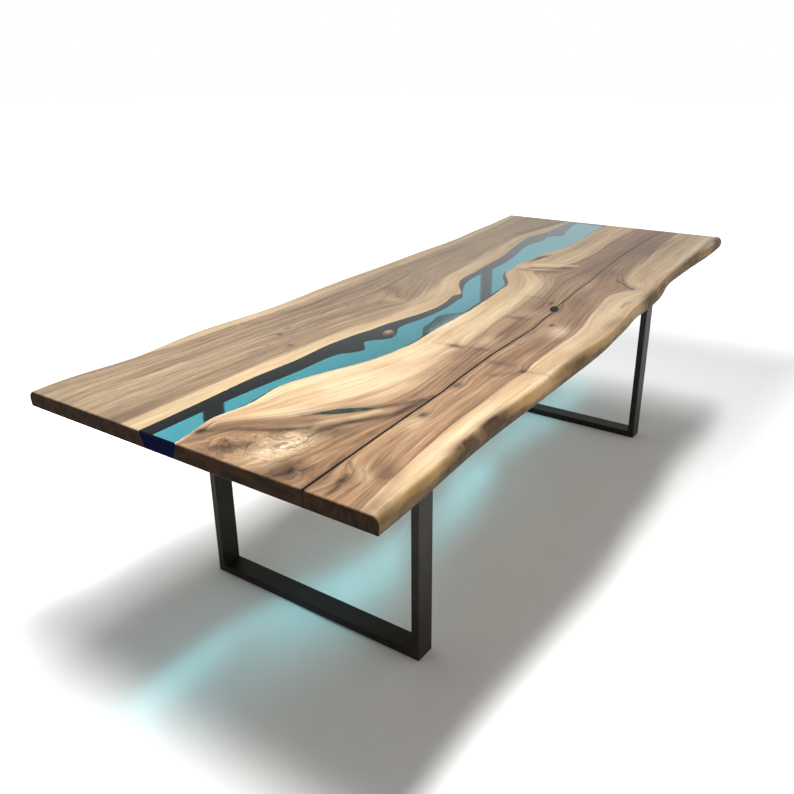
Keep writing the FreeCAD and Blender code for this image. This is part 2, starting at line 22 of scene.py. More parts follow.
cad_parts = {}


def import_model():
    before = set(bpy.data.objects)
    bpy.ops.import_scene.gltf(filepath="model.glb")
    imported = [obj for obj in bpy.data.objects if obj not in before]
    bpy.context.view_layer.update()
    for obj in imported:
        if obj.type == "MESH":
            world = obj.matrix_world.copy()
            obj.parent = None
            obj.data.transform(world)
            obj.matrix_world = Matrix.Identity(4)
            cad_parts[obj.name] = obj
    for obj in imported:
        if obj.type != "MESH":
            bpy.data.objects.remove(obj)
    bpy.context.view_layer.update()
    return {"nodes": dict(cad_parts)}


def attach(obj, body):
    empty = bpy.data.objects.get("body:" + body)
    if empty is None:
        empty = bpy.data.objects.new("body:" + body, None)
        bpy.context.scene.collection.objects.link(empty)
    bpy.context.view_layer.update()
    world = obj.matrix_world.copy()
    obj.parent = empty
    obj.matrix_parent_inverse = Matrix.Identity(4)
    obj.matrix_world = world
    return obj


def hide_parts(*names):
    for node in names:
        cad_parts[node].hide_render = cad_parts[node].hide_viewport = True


LOG = logging.getLogger("river_table")
MM = 0.001  # one millimetre
Rows = tuple[tuple[float, ...], ...]
Colour = tuple[float, float, float]


def linear(step: float) -> float:
    """Linear share of one display step of 0 to 255."""
    share = step / 255
    return share / 12.92 if share <= 0.04045 else ((share + 0.055) / 1.055) ** 2.4


def srgb(red: float, green: float, blue: float) -> Colour:
    """Linear colour of a display colour given in steps of 0 to 255."""
    return linear(red), linear(green), linear(blue)


# ---------------------------------------------------------------------------------------
# Natural lines of the boards, as the solids have them
# ---------------------------------------------------------------------------------------

# Share of the length, offset of the line on the upper face, stand-out at the underside.
BACK_EDGE: Rows = (
    (-0.500, 0, 7), (-0.455, 4, 8), (-0.388, -19, 9), (-0.345, -11, 8), (-0.300, -5, 7),
    (-0.255, -13, 9), (-0.200, -27, 10), (-0.113, -24, 10), (-0.030, -21, 9),
    (0.070, -27, 8), (0.165, -28, 9), (0.260, -34, 10), (0.330, -23, 9), (0.405, -17, 8),
    (0.450, -8, 8), (0.500, 3, 7),
)
BACK_BANK: Rows = (
    (-0.500, -1, 14), (-0.430, -2, 20), (-0.355, -4, 34), (-0.320, -12, 36),
    (-0.275, -13, 42), (-0.259, -13, 56), (-0.248, -15, 77), (-0.233, -20, 74),
    (-0.221, -24, 44), (-0.211, -28, 46), (-0.199, -36, 66), (-0.179, -44, 61),
    (-0.165, -50, 35), (-0.132, -70, 18), (-0.080, -90, 12), (-0.043, -77, 19),
    (-0.027, -73, 18), (-0.017, -80, 9), (-0.006, -66, 8), (0.019, -22, 18),
    (0.042, 3, 20), (0.080, 12, 16), (0.130, 24, 31), (0.190, 34, 34), (0.244, 60, 35),
    (0.300, 84, 42), (0.350, 93, 62), (0.371, 80, 47), (0.385, 73, 73), (0.404, 72, 73),
    (0.430, 70, 56), (0.465, 66, 36), (0.500, 63, 18),
)
FRONT_BANK: Rows = (
    (-0.500, 10, 12), (-0.475, 28, 14), (-0.451, 39, 16), (-0.425, 28, 24),
    (-0.399, 26, 24), (-0.370, 34, 20), (-0.338, 13, 10), (-0.310, -13, 10),
    (-0.275, -47, 10), (-0.235, -69, 12), (-0.205, -77, 22), (-0.168, -72, 26),
    (-0.143, -70, 58), (-0.122, -71, 66), (-0.092, -69, 68), (-0.075, -68, 34),
    (-0.050, -63, 24), (-0.010, -56, 24), (0.030, -45, 20), (0.065, -25, 14),
    (0.090, 16, 12), (0.110, 40, 12), (0.135, 47, 12), (0.170, 54, 10), (0.215, 41, 12),
    (0.235, 45, 12), (0.252, 38, 12), (0.270, 20, 14), (0.310, 8, 14), (0.350, 7, 14),
    (0.405, 13, 14), (0.450, 24, 12), (0.500, 23, 10),
)
FRONT_EDGE: Rows = (
    (-0.500, -12, 7), (-0.450, -6, 12), (-0.395, -5, 9), (-0.340, -2, 11),
    (-0.280, -4, 14), (-0.225, -7, 17), (-0.170, -11, 18), (-0.113, -20, 14),
    (-0.064, -25, 8), (-0.034, -20, 9), (0.005, -13, 12), (0.045, -4, 14),
    (0.090, -5, 16), (0.132, -1, 20), (0.170, 9, 22), (0.210, 13, 11), (0.263, 12, 8),
    (0.330, 7, 9), (0.430, -7, 8), (0.500, -2, 10),
)
SPLIT: Rows = (
    (-0.500, -48), (-0.395, -38), (-0.300, -35), (-0.263, -28), (-0.188, -21),
    (-0.094, -26), (-0.056, -17), (-0.024, -12), (0.000, 1), (0.038, 4), (0.075, 13),
    (0.120, 17), (0.188, 31), (0.293, 48), (0.395, 48), (0.450, 48), (0.500, 45),
)

# The split's middle and width, and the share of that width at its near end and lost by
# its far end.
SPLIT_MIDDLE = -0.293
SPLIT_WIDTH = 0.0035
SPLIT_NEAR = 1.7
SPLIT_LOSS = 1.16

# The top: length over its sawn ends, run-out of the natural lines past each end, height
# of the upper face, thickness, drift of the lines over the length, break of the ends.
LENGTH = 2.660
TRIM = 0.040
TOP = 0.760
THICKNESS = 0.040
DRIFT = 0.110
EDGE_BREAK = 0.0025

# Share of the depth, share of the stand-out reached there, roundness of a live edge.
LEVELS: Rows = ((0.0, 0.0, 0.0), (0.16, 0.14, 4.0), (0.55, 0.62, 5.0), (1.0, 1.0, -1.0))

# Waves of a natural edge: strength; repeats, turn with the depth and start of the quick
# wave; repeats and start of the slow one that it rides on.
EDGE_WAVES: Rows = ((1.0, 61, 5, 0.0, 23, 1.7), (0.6, 143, 9, 0.8, 37, 0.0))

# Width over which the grain averages a guide line, how many places it takes there, and
# the least gap between a guide and the one behind it or in front of it.
GUIDE_SPAN = 0.10
GUIDE_STEPS = 7
GAP_BEHIND = 0.004
GAP_IN_FRONT = 0.002

# A knot's hold on the grain lost per metre of depth, size of its soft core and of its
# halo, strength of the halo.
KNOT_LOSS = 6
KNOT_CORE = 1.3
KNOT_HALO = 1.5
HALO_SHARE = 0.35


def smooth_curve(stations: np.ndarray, values: np.ndarray, at: np.ndarray) -> np.ndarray:
    """Natural cubic spline.

    Args:
        stations: Rising places of the known values.
        values: Known values.
        at: Places to work out.

    Returns:
        The value of the spline at each place.
    """
    gaps = np.diff(stations)
    count = len(stations)
    matrix = np.eye(count)
    right = np.zeros(count)
    slopes = np.diff(values) / gaps
    for row in range(1, count - 1):
        matrix[row, row - 1] = gaps[row - 1]
        matrix[row, row] = 2 * (gaps[row - 1] + gaps[row])
        matrix[row, row + 1] = gaps[row]
        right[row] = 6 * (slopes[row] - slopes[row - 1])
    bends = np.linalg.solve(matrix, right)
    span = np.clip(np.searchsorted(stations, at) - 1, 0, count - 2)
    before = stations[span + 1] - at
    after = at - stations[span]
    gap = gaps[span]
    curve = (bends[span] * before**3 + bends[span + 1] * after**3) / (6 * gap)
    curve += (values[span] / gap - bends[span] * gap / 6) * before
    curve += (values[span + 1] / gap - bends[span + 1] * gap / 6) * after
    return curve


class Outward(Enum):
    """The way a natural line faces."""

    BACK = 1
    FRONT = -1


@dataclass(frozen=True)
class NaturalLine:
    """One natural line of a board, from its upper face to its underside.

    A line whose rows hold a stand-out is shaped: an edge or a bank that reaches further
    out below.  The split's two lines are plain and go straight down.
    """

    mean: float
    rows: Rows
    outward: Outward
    live: bool = False
    spread: float = 0.0

    @property
    def shaped(self) -> bool:
        """Whether the line stands out below the upper face."""
        return len(self.rows[0]) > 2

    def stations(self) -> np.ndarray:
        """Places of the rows along the table, the end ones moved out to the rough ends."""
        shares = np.array(self.rows)[:, 0]
        return shares * LENGTH + np.where(np.abs(shares) < 0.5, 0.0, np.sign(shares) * TRIM)

    def at(self, places: np.ndarray, depth: float) -> np.ndarray:
        """Line at one depth.

        Args:
            places: Places along the table.
            depth: Share of the thickness below the upper face.

        Returns:
            The place of the line across the table, for each place along it.
        """
        table = np.array(self.rows)
        middle = self.mean + DRIFT * table[:, 0] + table[:, 1] * MM
        if not self.shaped:
            half = self.spread / 2 * (SPLIT_NEAR - SPLIT_LOSS * (places / LENGTH + 0.5))
            return np.interp(places, self.stations(), middle) + self.outward.value * half
        depths, reaches, rounds = zip(*LEVELS)
        reach = table[:, 2] * MM * np.interp(depth, depths, reaches)
        bulge = np.interp(depth, depths, rounds) * MM if self.live else 0.0
        across = middle + self.outward.value * (reach + bulge)
        return smooth_curve(self.stations(), across, places)


BACK_EDGE_LINE = NaturalLine(0.502, BACK_EDGE, Outward.BACK, live=True)
BACK_BANK_LINE = NaturalLine(0.117, BACK_BANK, Outward.FRONT)
FRONT_BANK_LINE = NaturalLine(-0.013, FRONT_BANK, Outward.BACK)
FRONT_EDGE_LINE = NaturalLine(-0.491, FRONT_EDGE, Outward.FRONT, live=True)
SPLIT_BACK_LINE = NaturalLine(SPLIT_MIDDLE, SPLIT, Outward.BACK, spread=SPLIT_WIDTH)
SPLIT_FRONT_LINE = NaturalLine(SPLIT_MIDDLE, SPLIT, Outward.FRONT, spread=SPLIT_WIDTH)


# ---------------------------------------------------------------------------------------
# Figure of the wood
# ---------------------------------------------------------------------------------------


@dataclass(frozen=True)
class Knot:
    """A knot: the place it is at, how far it bends the grain, and its core."""

    x: float
    y: float
    reach: float
    pull: float
    core: float
    stretch: float
    dark: float

    def away(self, x: np.ndarray, y: np.ndarray) -> np.ndarray:
        """Distance of each point from the knot, shortened along the board."""
        return np.hypot((x - self.x * MM) / self.stretch, y - self.y * MM)

    def bend(self, x: np.ndarray, y: np.ndarray, deep: np.ndarray) -> np.ndarray:
        """Push of the knot on the grain at each point, weaker with the depth."""
        far_off = self.away(x, y) / (self.reach * MM)
        return self.pull * MM * np.exp(-(far_off**2)) * (1 - KNOT_LOSS * deep)

    def darkness(self, x: np.ndarray, y: np.ndarray) -> np.ndarray:
        """Darkness of the core and its halo.

        Args:
            x: Places along the table.
            y: Places across the table.

        Returns:
            The darkness at each point, none where the knot has no core.
        """
        if not self.core:
            return np.zeros(len(x))
        core = self.away(x, y) / (self.core * MM * KNOT_CORE)
        halo = self.away(x, y) / (self.reach * MM) * KNOT_HALO
        return self.dark * np.maximum(np.exp(-(core**2)), HALO_SHARE * np.exp(-(halo**2)))


@dataclass(frozen=True)
class Patch:
    """A soft oval area, darker, paler or burled."""

    x: float
    y: float
    long: float
    wide: float
    angle: float
    strength: float

    def at(self, x: np.ndarray, y: np.ndarray) -> np.ndarray:
        """Strength of the patch.

        Args:
            x: Places along the table.
            y: Places across the table.

        Returns:
            The strength at each point, fading out softly.
        """
        turn = math.radians(self.angle)
        dx, dy = x - self.x * MM, y - self.y * MM
        along = dx * math.cos(turn) + dy * math.sin(turn)
        across = dy * math.cos(turn) - dx * math.sin(turn)
        far = (along / (self.long * MM)) ** 2 + (across / (self.wide * MM)) ** 2
        return self.strength * np.exp(-far)


@dataclass(frozen=True)
class Streak:
    """A soft dark or pale line through a few points."""

    points: Rows
    width: float
    strength: float

    def at(self, x: np.ndarray, y: np.ndarray) -> np.ndarray:
        """Strength of the streak.

        Args:
            x: Places along the table.
            y: Places across the table.

        Returns:
            The strength at each point, fading out softly.
        """
        nearest = np.full(x.shape, np.inf)
        for start, end in zip(self.points, self.points[1:]):
            ax, ay = start[0] * MM, start[1] * MM
            dx, dy = end[0] * MM - ax, end[1] * MM - ay
            share = np.clip(((x - ax) * dx + (y - ay) * dy) / (dx * dx + dy * dy), 0, 1)
            nearest = np.minimum(nearest, np.hypot(x - ax - share * dx, y - ay - share * dy))
        return self.strength * np.exp(-((nearest / (self.width * MM)) ** 2))


Mark = Patch | Streak


def strongest(marks: Iterable[Mark], x: np.ndarray, y: np.ndarray) -> np.ndarray:
    """Strength of the strongest of some marks at each point, or none."""
    return reduce(np.maximum, (mark.at(x, y) for mark in marks), np.zeros(len(x)))


def stained_rim(rows: int, width: float = 5, strength: float = 0.65) -> Streak:
    """Dark stain in the wood on both sides of the filled split.

    Args:
        rows: How many rows of the split it follows, from the near end.
        width: How far it reaches to each side.
        strength: How dark it is.

    Returns:
        The stain, as a streak over the split.
    """
    line = NaturalLine(SPLIT_MIDDLE, SPLIT, Outward.BACK)
    places = line.stations()[:rows]
    return Streak(tuple(zip(places / MM, line.at(places, 0.0) / MM)), width, strength)


@dataclass(frozen=True)
class Boss:
    """A knob of wood that rises from a submerged bank towards the surface."""

    x: float
    y: float
    long: float
    wide: float
    rise: float


@dataclass(frozen=True)
class Figure:
    """What a board's grain does: the lines it follows, knots, patches and streaks, a few of them
    painted shade and sheen.

    The guides run from the front of the board to its back.  Sapwood lies before the
    second of them and beyond the last but one.
    """

    guides: tuple[Rows | NaturalLine, ...]
    knots: tuple[Knot, ...]
    darks_and_shade: tuple[Mark, ...]
    pales_and_sheen: tuple[Mark, ...]
    burls: tuple[Patch, ...] = ()
    bosses: tuple[Boss, ...] = ()

    def flow(self, x: np.ndarray, y: np.ndarray) -> tuple[np.ndarray, list[float]]:
        """Grain coordinate across the board, level along every guide line.

        Args:
            x: Places along the table.
            y: Places across the table.

        Returns:
            The coordinate at each point, and its value on each guide.
        """
        lines = [self.guide_at(guide, x) for guide in self.guides]
        for number in range(len(lines) - 2, 0, -1):
            lines[number] = np.minimum(lines[number], lines[number + 1] - GAP_BEHIND)
        for number in range(1, len(lines)):
            lines[number] = np.maximum(lines[number], lines[number - 1] + GAP_IN_FRONT)
        values = [0.0]
        across = np.minimum(y - lines[0], 0.0) + np.maximum(y - lines[-1], 0.0)
        for before, after in zip(lines, lines[1:]):
            width = float(np.mean(after - before))
            across = across + width * np.clip((y - before) / (after - before), 0.0, 1.0)
            values.append(values[-1] + width)
        return across, values

    @staticmethod
    def guide_at(guide: Rows | NaturalLine, x: np.ndarray) -> np.ndarray:
        """Guide line averaged over a hand's width, as the grain follows it.

        Args:
            guide: The line, or its rows.
            x: Places along the table.

        Returns:
            Its place across the table at each of them.
        """
        limit = LENGTH / 2 + TRIM
        mean = np.zeros(len(x))
        for step in np.linspace(-GUIDE_SPAN / 2, GUIDE_SPAN / 2, GUIDE_STEPS):
            places = np.clip(x + step, -limit, limit)
            if isinstance(guide, NaturalLine):
                mean += guide.at(places, 0.0)
            else:
                along, across = np.array(guide).T * MM
                mean += np.interp(places, along, across)
        return mean / GUIDE_STEPS


# ---------------------------------------------------------------------------------------
# Node trees
# ---------------------------------------------------------------------------------------

# Height of the finest marks that a finish gives by bump.
FINE_MARKS = 0.0002


class Tree:
    """Short hand for building one node tree."""

    def __init__(self, owner: bpy.types.ID, output: str = "ShaderNodeOutputMaterial") -> None:
        """Starts an empty tree.

        Args:
            owner: Material or world that the tree belongs to.
            output: Blender's name of the output node.
        """
        owner.use_nodes = True
        self.owner = owner
        self.tree = owner.node_tree
        self.tree.nodes.clear()
        self.output = self.add(output)

    def add(self, kind: str, inputs: dict[int | str, Any] | None = None,
            **settings: Any) -> bpy.types.Node:
        """Adds a node.

        Args:
            kind: Blender's name of the node.
            inputs: What each input is fed with, by its number or name.
            **settings: Properties of the node.

        Returns:
            The node.
        """
        node = self.tree.nodes.new(kind)
        for name, value in settings.items():
            setattr(node, name, value)
        for key, value in (inputs or {}).items():
            self.feed(node.inputs[key], value)
        return node

    def feed(self, socket: bpy.types.NodeSocket, value: Any) -> None:
        """Links a socket to another, or sets its own value.

        Args:
            socket: The input.
            value: Output to link, or a number, vector or colour.
        """
        if isinstance(value, bpy.types.NodeSocket):
            self.tree.links.new(value, socket)
        elif socket.type == "RGBA":
            socket.default_value = (*value, 1.0)
        else:
            socket.default_value = value

    def show(self, surface: Any, volume: Any = None) -> None:
        """Wires the output.

        Args:
            surface: Shader of the surface.
            volume: Shader of the inside, if it has one.
        """
        self.feed(self.output.inputs["Surface"], surface)
        if volume is not None:
            self.feed(self.output.inputs["Volume"], volume)

    def math(self, operation: str, first: Any, second: Any = 0.0, clamp: bool = False) -> Any:
        """Math node on one or two values."""
        return self.add("ShaderNodeMath", {0: first, 1: second}, operation=operation,
                        use_clamp=clamp).outputs[0]

    def total(self, *values: Any) -> Any:
        """Sum of some values."""
        return reduce(partial(self.math, "ADD"), values)

    def product(self, *values: Any) -> Any:
        """Product of some values."""
        return reduce(partial(self.math, "MULTIPLY"), values)

    def rest(self, value: Any) -> Any:
        """One less a value."""
        return self.math("SUBTRACT", 1.0, value)

    def scaled(self, value: Any, factor: float, shift: float = 0.0) -> Any:
        """Value times a factor, plus a shift."""
        return self.add("ShaderNodeMath", {0: value, 1: factor, 2: shift},
                        operation="MULTIPLY_ADD").outputs[0]

    def swing(self, value: Any, reach: float) -> Any:
        """Value of 0 to 1, made to swing evenly about zero over a reach."""
        return self.scaled(value, reach, -reach / 2)

    def step(self, value: Any, low: float, high: float, first: float = 0.0,
             last: float = 1.0, kind: str = "SMOOTHSTEP") -> Any:
        """Step of a value.

        Args:
            value: The value.
            low: Where the step starts.
            high: Where it ends.
            first: What it gives up to its start.
            last: What it gives from its end on.
            kind: Blender's name of its curve.

        Returns:
            The stepped value.
        """
        inputs = {"Value": value, "From Min": low, "From Max": high, "To Min": first,
                  "To Max": last}
        node = self.add("ShaderNodeMapRange", inputs, interpolation_type=kind)
        return node.outputs["Result"]

    def vector(self, x: Any, y: Any, z: Any) -> Any:
        """Vector of three values."""
        return self.add("ShaderNodeCombineXYZ", {0: x, 1: y, 2: z}).outputs[0]

    def split(self, vector: Any) -> tuple[Any, ...]:
        """The three numbers of a vector."""
        return tuple(self.add("ShaderNodeSeparateXYZ", {0: vector}).outputs)

    def parts(self, name: str) -> tuple[Any, ...]:
        """The three numbers of one attribute of the mesh."""
        return self.split(self.add("ShaderNodeAttribute", attribute_name=name).outputs["Vector"])

    def place(self) -> Any:
        """Place on the object, in metres."""
        return self.add("ShaderNodeTexCoord").outputs["Object"]

    def noise(self, place: Any, scale: float = 1.0, detail: float = 2.0,
              rough: float = 0.5) -> Any:
        """Noise texture's value at a place."""
        inputs = {"Vector": place, "Scale": scale, "Detail": detail, "Roughness": rough}
        return self.add("ShaderNodeTexNoise", inputs).outputs["Fac"]

    def ramp(self, value: Any, stops: Iterable[tuple[float, Colour]]) -> Any:
        """Colour ramp through a few stops.

        Args:
            value: The value that picks the colour.
            stops: Place and colour of each stop.

        Returns:
            The colour.
        """
        node = self.add("ShaderNodeValToRGB", {"Fac": value})
        elements = node.color_ramp.elements
        for index, (place, colour) in enumerate(stops):
            element = elements[index] if index < 2 else elements.new(place)
            element.position = place
            element.color = (*colour, 1.0)
        return node.outputs["Color"]

    def mix(self, share: Any, first: Any, second: Any, blend: str = "MIX") -> Any:
        """Mix of two colours."""
        return self.add("ShaderNodeMix", {0: share, 6: first, 7: second}, data_type="RGBA",
                        blend_type=blend).outputs[2]

    def blend(self, share: Any, first: Any, second: Any) -> Any:
        """Mix of two shaders."""
        return self.add("ShaderNodeMixShader", {0: share, 1: first, 2: second}).outputs[0]

    def bump(self, height: Any, strength: float, distance: float = FINE_MARKS) -> Any:
        """Bump from a height."""
        inputs = {"Strength": strength, "Distance": distance, "Height": height}
        return self.add("ShaderNodeBump", inputs).outputs["Normal"]

    def background(self, colour: Colour, strength: Any) -> Any:
        """Background of a world."""
        return self.add("ShaderNodeBackground", {"Color": colour, "Strength": strength}).outputs[0]

    def principled(self, **values: Any) -> Any:
        """Principled shader, with its sockets given by name."""
        inputs = {name.replace("_", " "): value for name, value in values.items()}
        return self.add("ShaderNodeBsdfPrincipled", inputs).outputs[0]


def start_material(name: str) -> Tree:
    """Empty tree of a new material."""
    return Tree(bpy.data.materials.new(name))


# ---------------------------------------------------------------------------------------
# Finishes
# ---------------------------------------------------------------------------------------


class Strand(Enum):
    """Strands of the grain: repeats along and across it in a metre, and detail."""

    BROAD = (0.7, 20, 2.0)
    MEDIUM = (1.5, 70, 3.0)
    CLOSE = (3.2, 170, 3.0)
    FINE = (9, 430, 2.0)
    PORES = (30, 1300, 2.0)


class Grain:
    """What a board's grain field says in a node tree, and the noise that follows it."""

    def __init__(self, t: Tree) -> None:
        """Reads the field and draws the strands along it.

        Args:
            t: Tree of the walnut's material.
        """
        self.tree = t
        self.along, self.across, self.deep = t.parts("grain")
        sap_line, dark, pale_and_sheen = t.parts("tone")
        self.skin, self.bank, self.burl = t.parts("skin")
        self.sawn, self.depth, _ = t.parts("sawn")

        place = t.place()
        self.swirl = t.noise(place, scale=24, detail=3.0)
        pushed = t.vector(self.swirl, self.swirl, 0.0)
        self.bent = t.add("ShaderNodeVectorMath", {0: pushed, 1: (0.05, -0.04, 0.0), 2: place},
                          operation="MULTIPLY_ADD").outputs[0]
        self.cloud = t.noise(self.bent, scale=34, detail=4.0)
        self.line = t.total(
            self.across,
            t.swing(self.drawn(self.across, (2.2, 6, 5), 3.0), 0.022),
            t.swing(self.drawn(self.across, (11, 26, 1), 2.0), 0.004),
            t.product(self.burl, t.swing(self.swirl, 0.07)),
        )
        self.broad, self.medium, self.close, self.fine, self.pores = (
            self.strand(kind) for kind in Strand)

        ragged = t.total(sap_line, t.swing(self.medium, 0.040), t.swing(self.broad, 0.040))
        self.sapwood = t.step(ragged, -0.005, 0.009)
        patchy = t.product(self.burl, t.rest(t.step(self.cloud, 0.36, 0.58)))
        self.pale_and_sheen = t.math("MULTIPLY", pale_and_sheen, t.rest(patchy), clamp=True)
        streaky = t.total(t.scaled(self.medium, 0.7, 0.1), t.scaled(self.cloud, 1.1))
        self.dark = t.math("MULTIPLY", dark, streaky, clamp=True)
        self.bare = t.step(t.total(pale_and_sheen, t.swing(self.swirl, 0.8)), 0.45, 0.75)

    def drawn(self, across: Any, repeats: tuple[float, float, float], detail: float,
              rough: float = 0.5) -> Any:
        """Noise drawn out along the board.

        Args:
            across: Coordinate across the grain.
            repeats: Repeats in a metre along, across and down the board.
            detail: Detail of the noise.
            rough: Roughness of the noise.

        Returns:
            The noise.
        """
        t = self.tree
        scaled = map(t.scaled, (self.along, across, self.deep), repeats)
        return t.noise(t.vector(*scaled), detail=detail, rough=rough)

    def strand(self, kind: Strand) -> Any:
        """Noise of one kind of strand, which runs along the bent grain."""
        along, across, detail = kind.value
        return self.drawn(self.line, (along, across, across * 0.6), detail, 0.6)


@dataclass(frozen=True)
class WalnutFinish:
    """Oiled walnut: heartwood, sapwood, knots, live edges and submerged banks.

    Heart and sap go from dark to pale, at their stops along the broad and medium
    strands.  The shares say how strongly rings, threads, veins and curls show, and calm
    how much of the contrast the sapwood loses.  Swings are the changes of brightness of
    the close and fine strands and of the pores.
    """

    name: str
    heart: tuple[Colour, Colour, Colour]
    sap: tuple[Colour, Colour, Colour]
    heart_stops: tuple[float, float, float] = (0.28, 0.50, 0.74)
    sap_stops: tuple[float, float, float] = (0.26, 0.48, 0.74)
    ring_repeats: float = 95
    ring_share: float = 0.36
    sap_ring_share: float = 0.7
    thread_share: float = 0.30
    vein_share: float = 0.85
    curl_share: float = 0.6
    sap_calm: float = 0.40
    swings: tuple[float, float, float] = (1.50, 1.90, 0.90)
    knot: Colour = srgb(40, 25, 15)
    skin: Colour = srgb(139, 112, 66)
    bark_and_shade: Colour = srgb(46, 29, 8)
    # Dark of the lower live edge: bark, and painted shade low on the edge.
    bank: Colour = srgb(6, 5, 5)
    islet: Colour = srgb(132, 102, 72)
    # Sawn ends: dark end grain, made darker still as painted shade on the ends.
    dark_end_grain_and_shade: Colour = srgb(19, 8, 0)
    pale_end_grain_and_shade: Colour = srgb(52, 30, 8)

    def material(self) -> bpy.types.Material:
        """Builds the material.

        Returns:
            Walnut whose figure follows the grain field of the mesh.
        """
        t = start_material(self.name)
        g = Grain(t)
        calm = t.scaled(g.sapwood, -self.sap_calm, 1.0)
        weather = g.drawn(g.across, (7, 9, 40), 4.0)
        wood = self.burled(t, g, self.timber(t, g, calm))
        swing = t.total(*map(t.swing, (g.close, g.fine, g.pores), self.swings))
        tone = t.total(t.product(swing, calm), 1.0)
        wood = t.mix(1.0, wood, t.vector(tone, tone, tone), "MULTIPLY")
        wood = t.mix(g.skin, wood, self.rind(t, g, weather))
        wood = t.mix(g.bank, wood, t.mix(g.bare, self.bank, self.islet))
        # Sawn ends: dark end grain, darkened further as painted shade.
        end = t.mix(t.step(g.medium, 0.3, 0.7), self.dark_end_grain_and_shade, self.pale_end_grain_and_shade)
        unplaned = t.math("MAXIMUM", g.sawn, g.bank)
        rough = t.total(t.scaled(g.fine, 0.16, 0.28), t.scaled(g.skin, 0.25),
                        t.scaled(unplaned, 0.5))
        height = t.total(t.scaled(g.fine, 0.6), t.scaled(g.pores, 0.5),
                         t.product(g.skin, t.scaled(weather, 3.0)))
        t.show(t.principled(
            Base_Color=t.mix(g.sawn, wood, end), Roughness=rough, Specular_IOR_Level=0.18,
            Normal=t.bump(height, 0.35, 2 * FINE_MARKS),
        ))
        return t.owner

    def timber(self, t: Tree, g: Grain, calm: Any) -> Any:
        """Heartwood and sapwood with their rings, stains and threads.

        Args:
            t: Tree of the material.
            g: Grain of the board.
            calm: Share of the contrast that is left.

        Returns:
            The colour.
        """
        phase = t.total(t.scaled(g.line, self.ring_repeats), t.scaled(g.broad, 2.2))
        saw = t.math("FRACT", phase)
        gaps = t.noise(t.vector(t.scaled(g.along, 1.1), t.scaled(g.line, 9), 7.0))
        rings = t.product(t.step(saw, 0.30, 0.90), t.rest(t.step(saw, 0.92, 1.0)),
                          t.step(gaps, 0.38, 0.68))
        body = t.total(t.scaled(g.broad, 0.42), t.scaled(g.medium, 0.60, -0.01))
        heart = t.ramp(body, zip(self.heart_stops, self.heart))
        heart = t.mix(t.scaled(rings, self.ring_share), heart, self.heart[0])
        sap = t.ramp(body, zip(self.sap_stops, self.sap))
        sap = t.mix(t.scaled(rings, self.sap_ring_share * self.ring_share), sap, self.sap[0])
        wood = t.mix(g.sapwood, heart, sap)
        # Pale marks: pale wood, and painted sheen over the far end of the back board.
        wood = t.mix(g.pale_and_sheen, wood, self.sap[2])
        # Dark marks in the knot colour: knots and stains, and painted shade on the lower front
        # edge and in the hollow by the bank.
        wood = t.mix(g.dark, wood, self.knot)
        thread = t.product(t.step(g.close, 0.50, 0.72), t.step(g.fine, 0.42, 0.62), calm)
        return t.mix(t.scaled(thread, self.thread_share), wood, self.knot)

    def burled(self, t: Tree, g: Grain, wood: Any) -> Any:
        """Veins and curls of the burl.

        Args:
            t: Tree of the material.
            g: Grain of the board.
            wood: Colour of the plain wood.

        Returns:
            The colour with them.
        """
        veins = t.add("ShaderNodeTexVoronoi", {"Vector": g.bent, "Scale": 21},
                      feature="DISTANCE_TO_EDGE").outputs["Distance"]
        crack = t.product(t.rest(t.step(veins, 0.012, 0.045)), g.burl,
                          t.step(g.cloud, 0.44, 0.62))
        wood = t.mix(t.scaled(crack, self.vein_share), wood, self.knot)
        wave = t.math("SUBTRACT", t.math("FRACT", t.scaled(g.swirl, 6.0)), 0.5)
        curl = t.product(t.rest(t.step(t.math("ABSOLUTE", wave), 0.03, 0.30)), g.burl,
                         t.step(g.fine, 0.35, 0.6))
        return t.mix(t.scaled(curl, self.curl_share), wood, self.knot)

    def rind(self, t: Tree, g: Grain, weather: Any) -> Any:
        """Weathered skin of a live edge, darker towards the underside: bark, and painted shade low
        on the edge.

        Args:
            t: Tree of the material.
            g: Grain of the board.
            weather: Noise of the weathering.

        Returns:
            The colour.
        """
        low = t.total(weather, t.scaled(g.depth, 0.62, -0.24))
        rind = t.mix(t.step(low, 0.42, 0.80), self.skin, self.bark_and_shade)
        rind = t.mix(t.scaled(g.fine, 0.4), rind, self.sap[0])
        rind = t.mix(t.scaled(g.pale_and_sheen, 0.75), rind, self.sap[1])
        return t.mix(t.scaled(g.dark, 0.9), rind, self.bark_and_shade)


@dataclass(frozen=True)
class ClearResinFinish:
    """Cast resin, tinted by the length of the way through it, with dull sawn ends."""

    name: str
    tint: Colour
    density: float
    roughness: float = 0.03
    index: float = 1.4
    clear: Colour = (1.0, 1.0, 1.0)
    hazy: Colour = (0.86, 0.95, 0.96)
    end_colour: Colour = srgb(17, 21, 48)

    def material(self) -> bpy.types.Material:
        """Builds the material.

        Returns:
            Resin that lets lamps through and takes its colour from its depth.
        """
        t = start_material(self.name)
        place = t.place()
        haze = t.noise(place, scale=9, detail=3)
        polish = t.noise(place, scale=220)
        body = t.principled(
            Base_Color=t.mix(t.scaled(haze, 0.35), self.clear, self.hazy),
            Roughness=t.scaled(polish, 0.05, self.roughness),
            IOR=self.index, Transmission_Weight=1.0,
            Normal=t.bump(polish, 0.15),
        )
        facing = t.split(t.add("ShaderNodeNewGeometry").outputs["True Normal"])[0]
        sawn = t.step(t.math("ABSOLUTE", facing), 0.90, 0.97)
        brushed = t.principled(Base_Color=self.end_colour, Roughness=0.4, Specular_IOR_Level=0.0)
        shadow = t.add("ShaderNodeLightPath").outputs["Is Shadow Ray"]
        window = t.add("ShaderNodeBsdfTransparent").outputs[0]
        depth = t.add("ShaderNodeVolumeAbsorption", {"Color": self.tint, "Density": self.density})
        t.show(t.blend(shadow, t.blend(sawn, body, brushed), window), depth.outputs[0])
        return t.owner


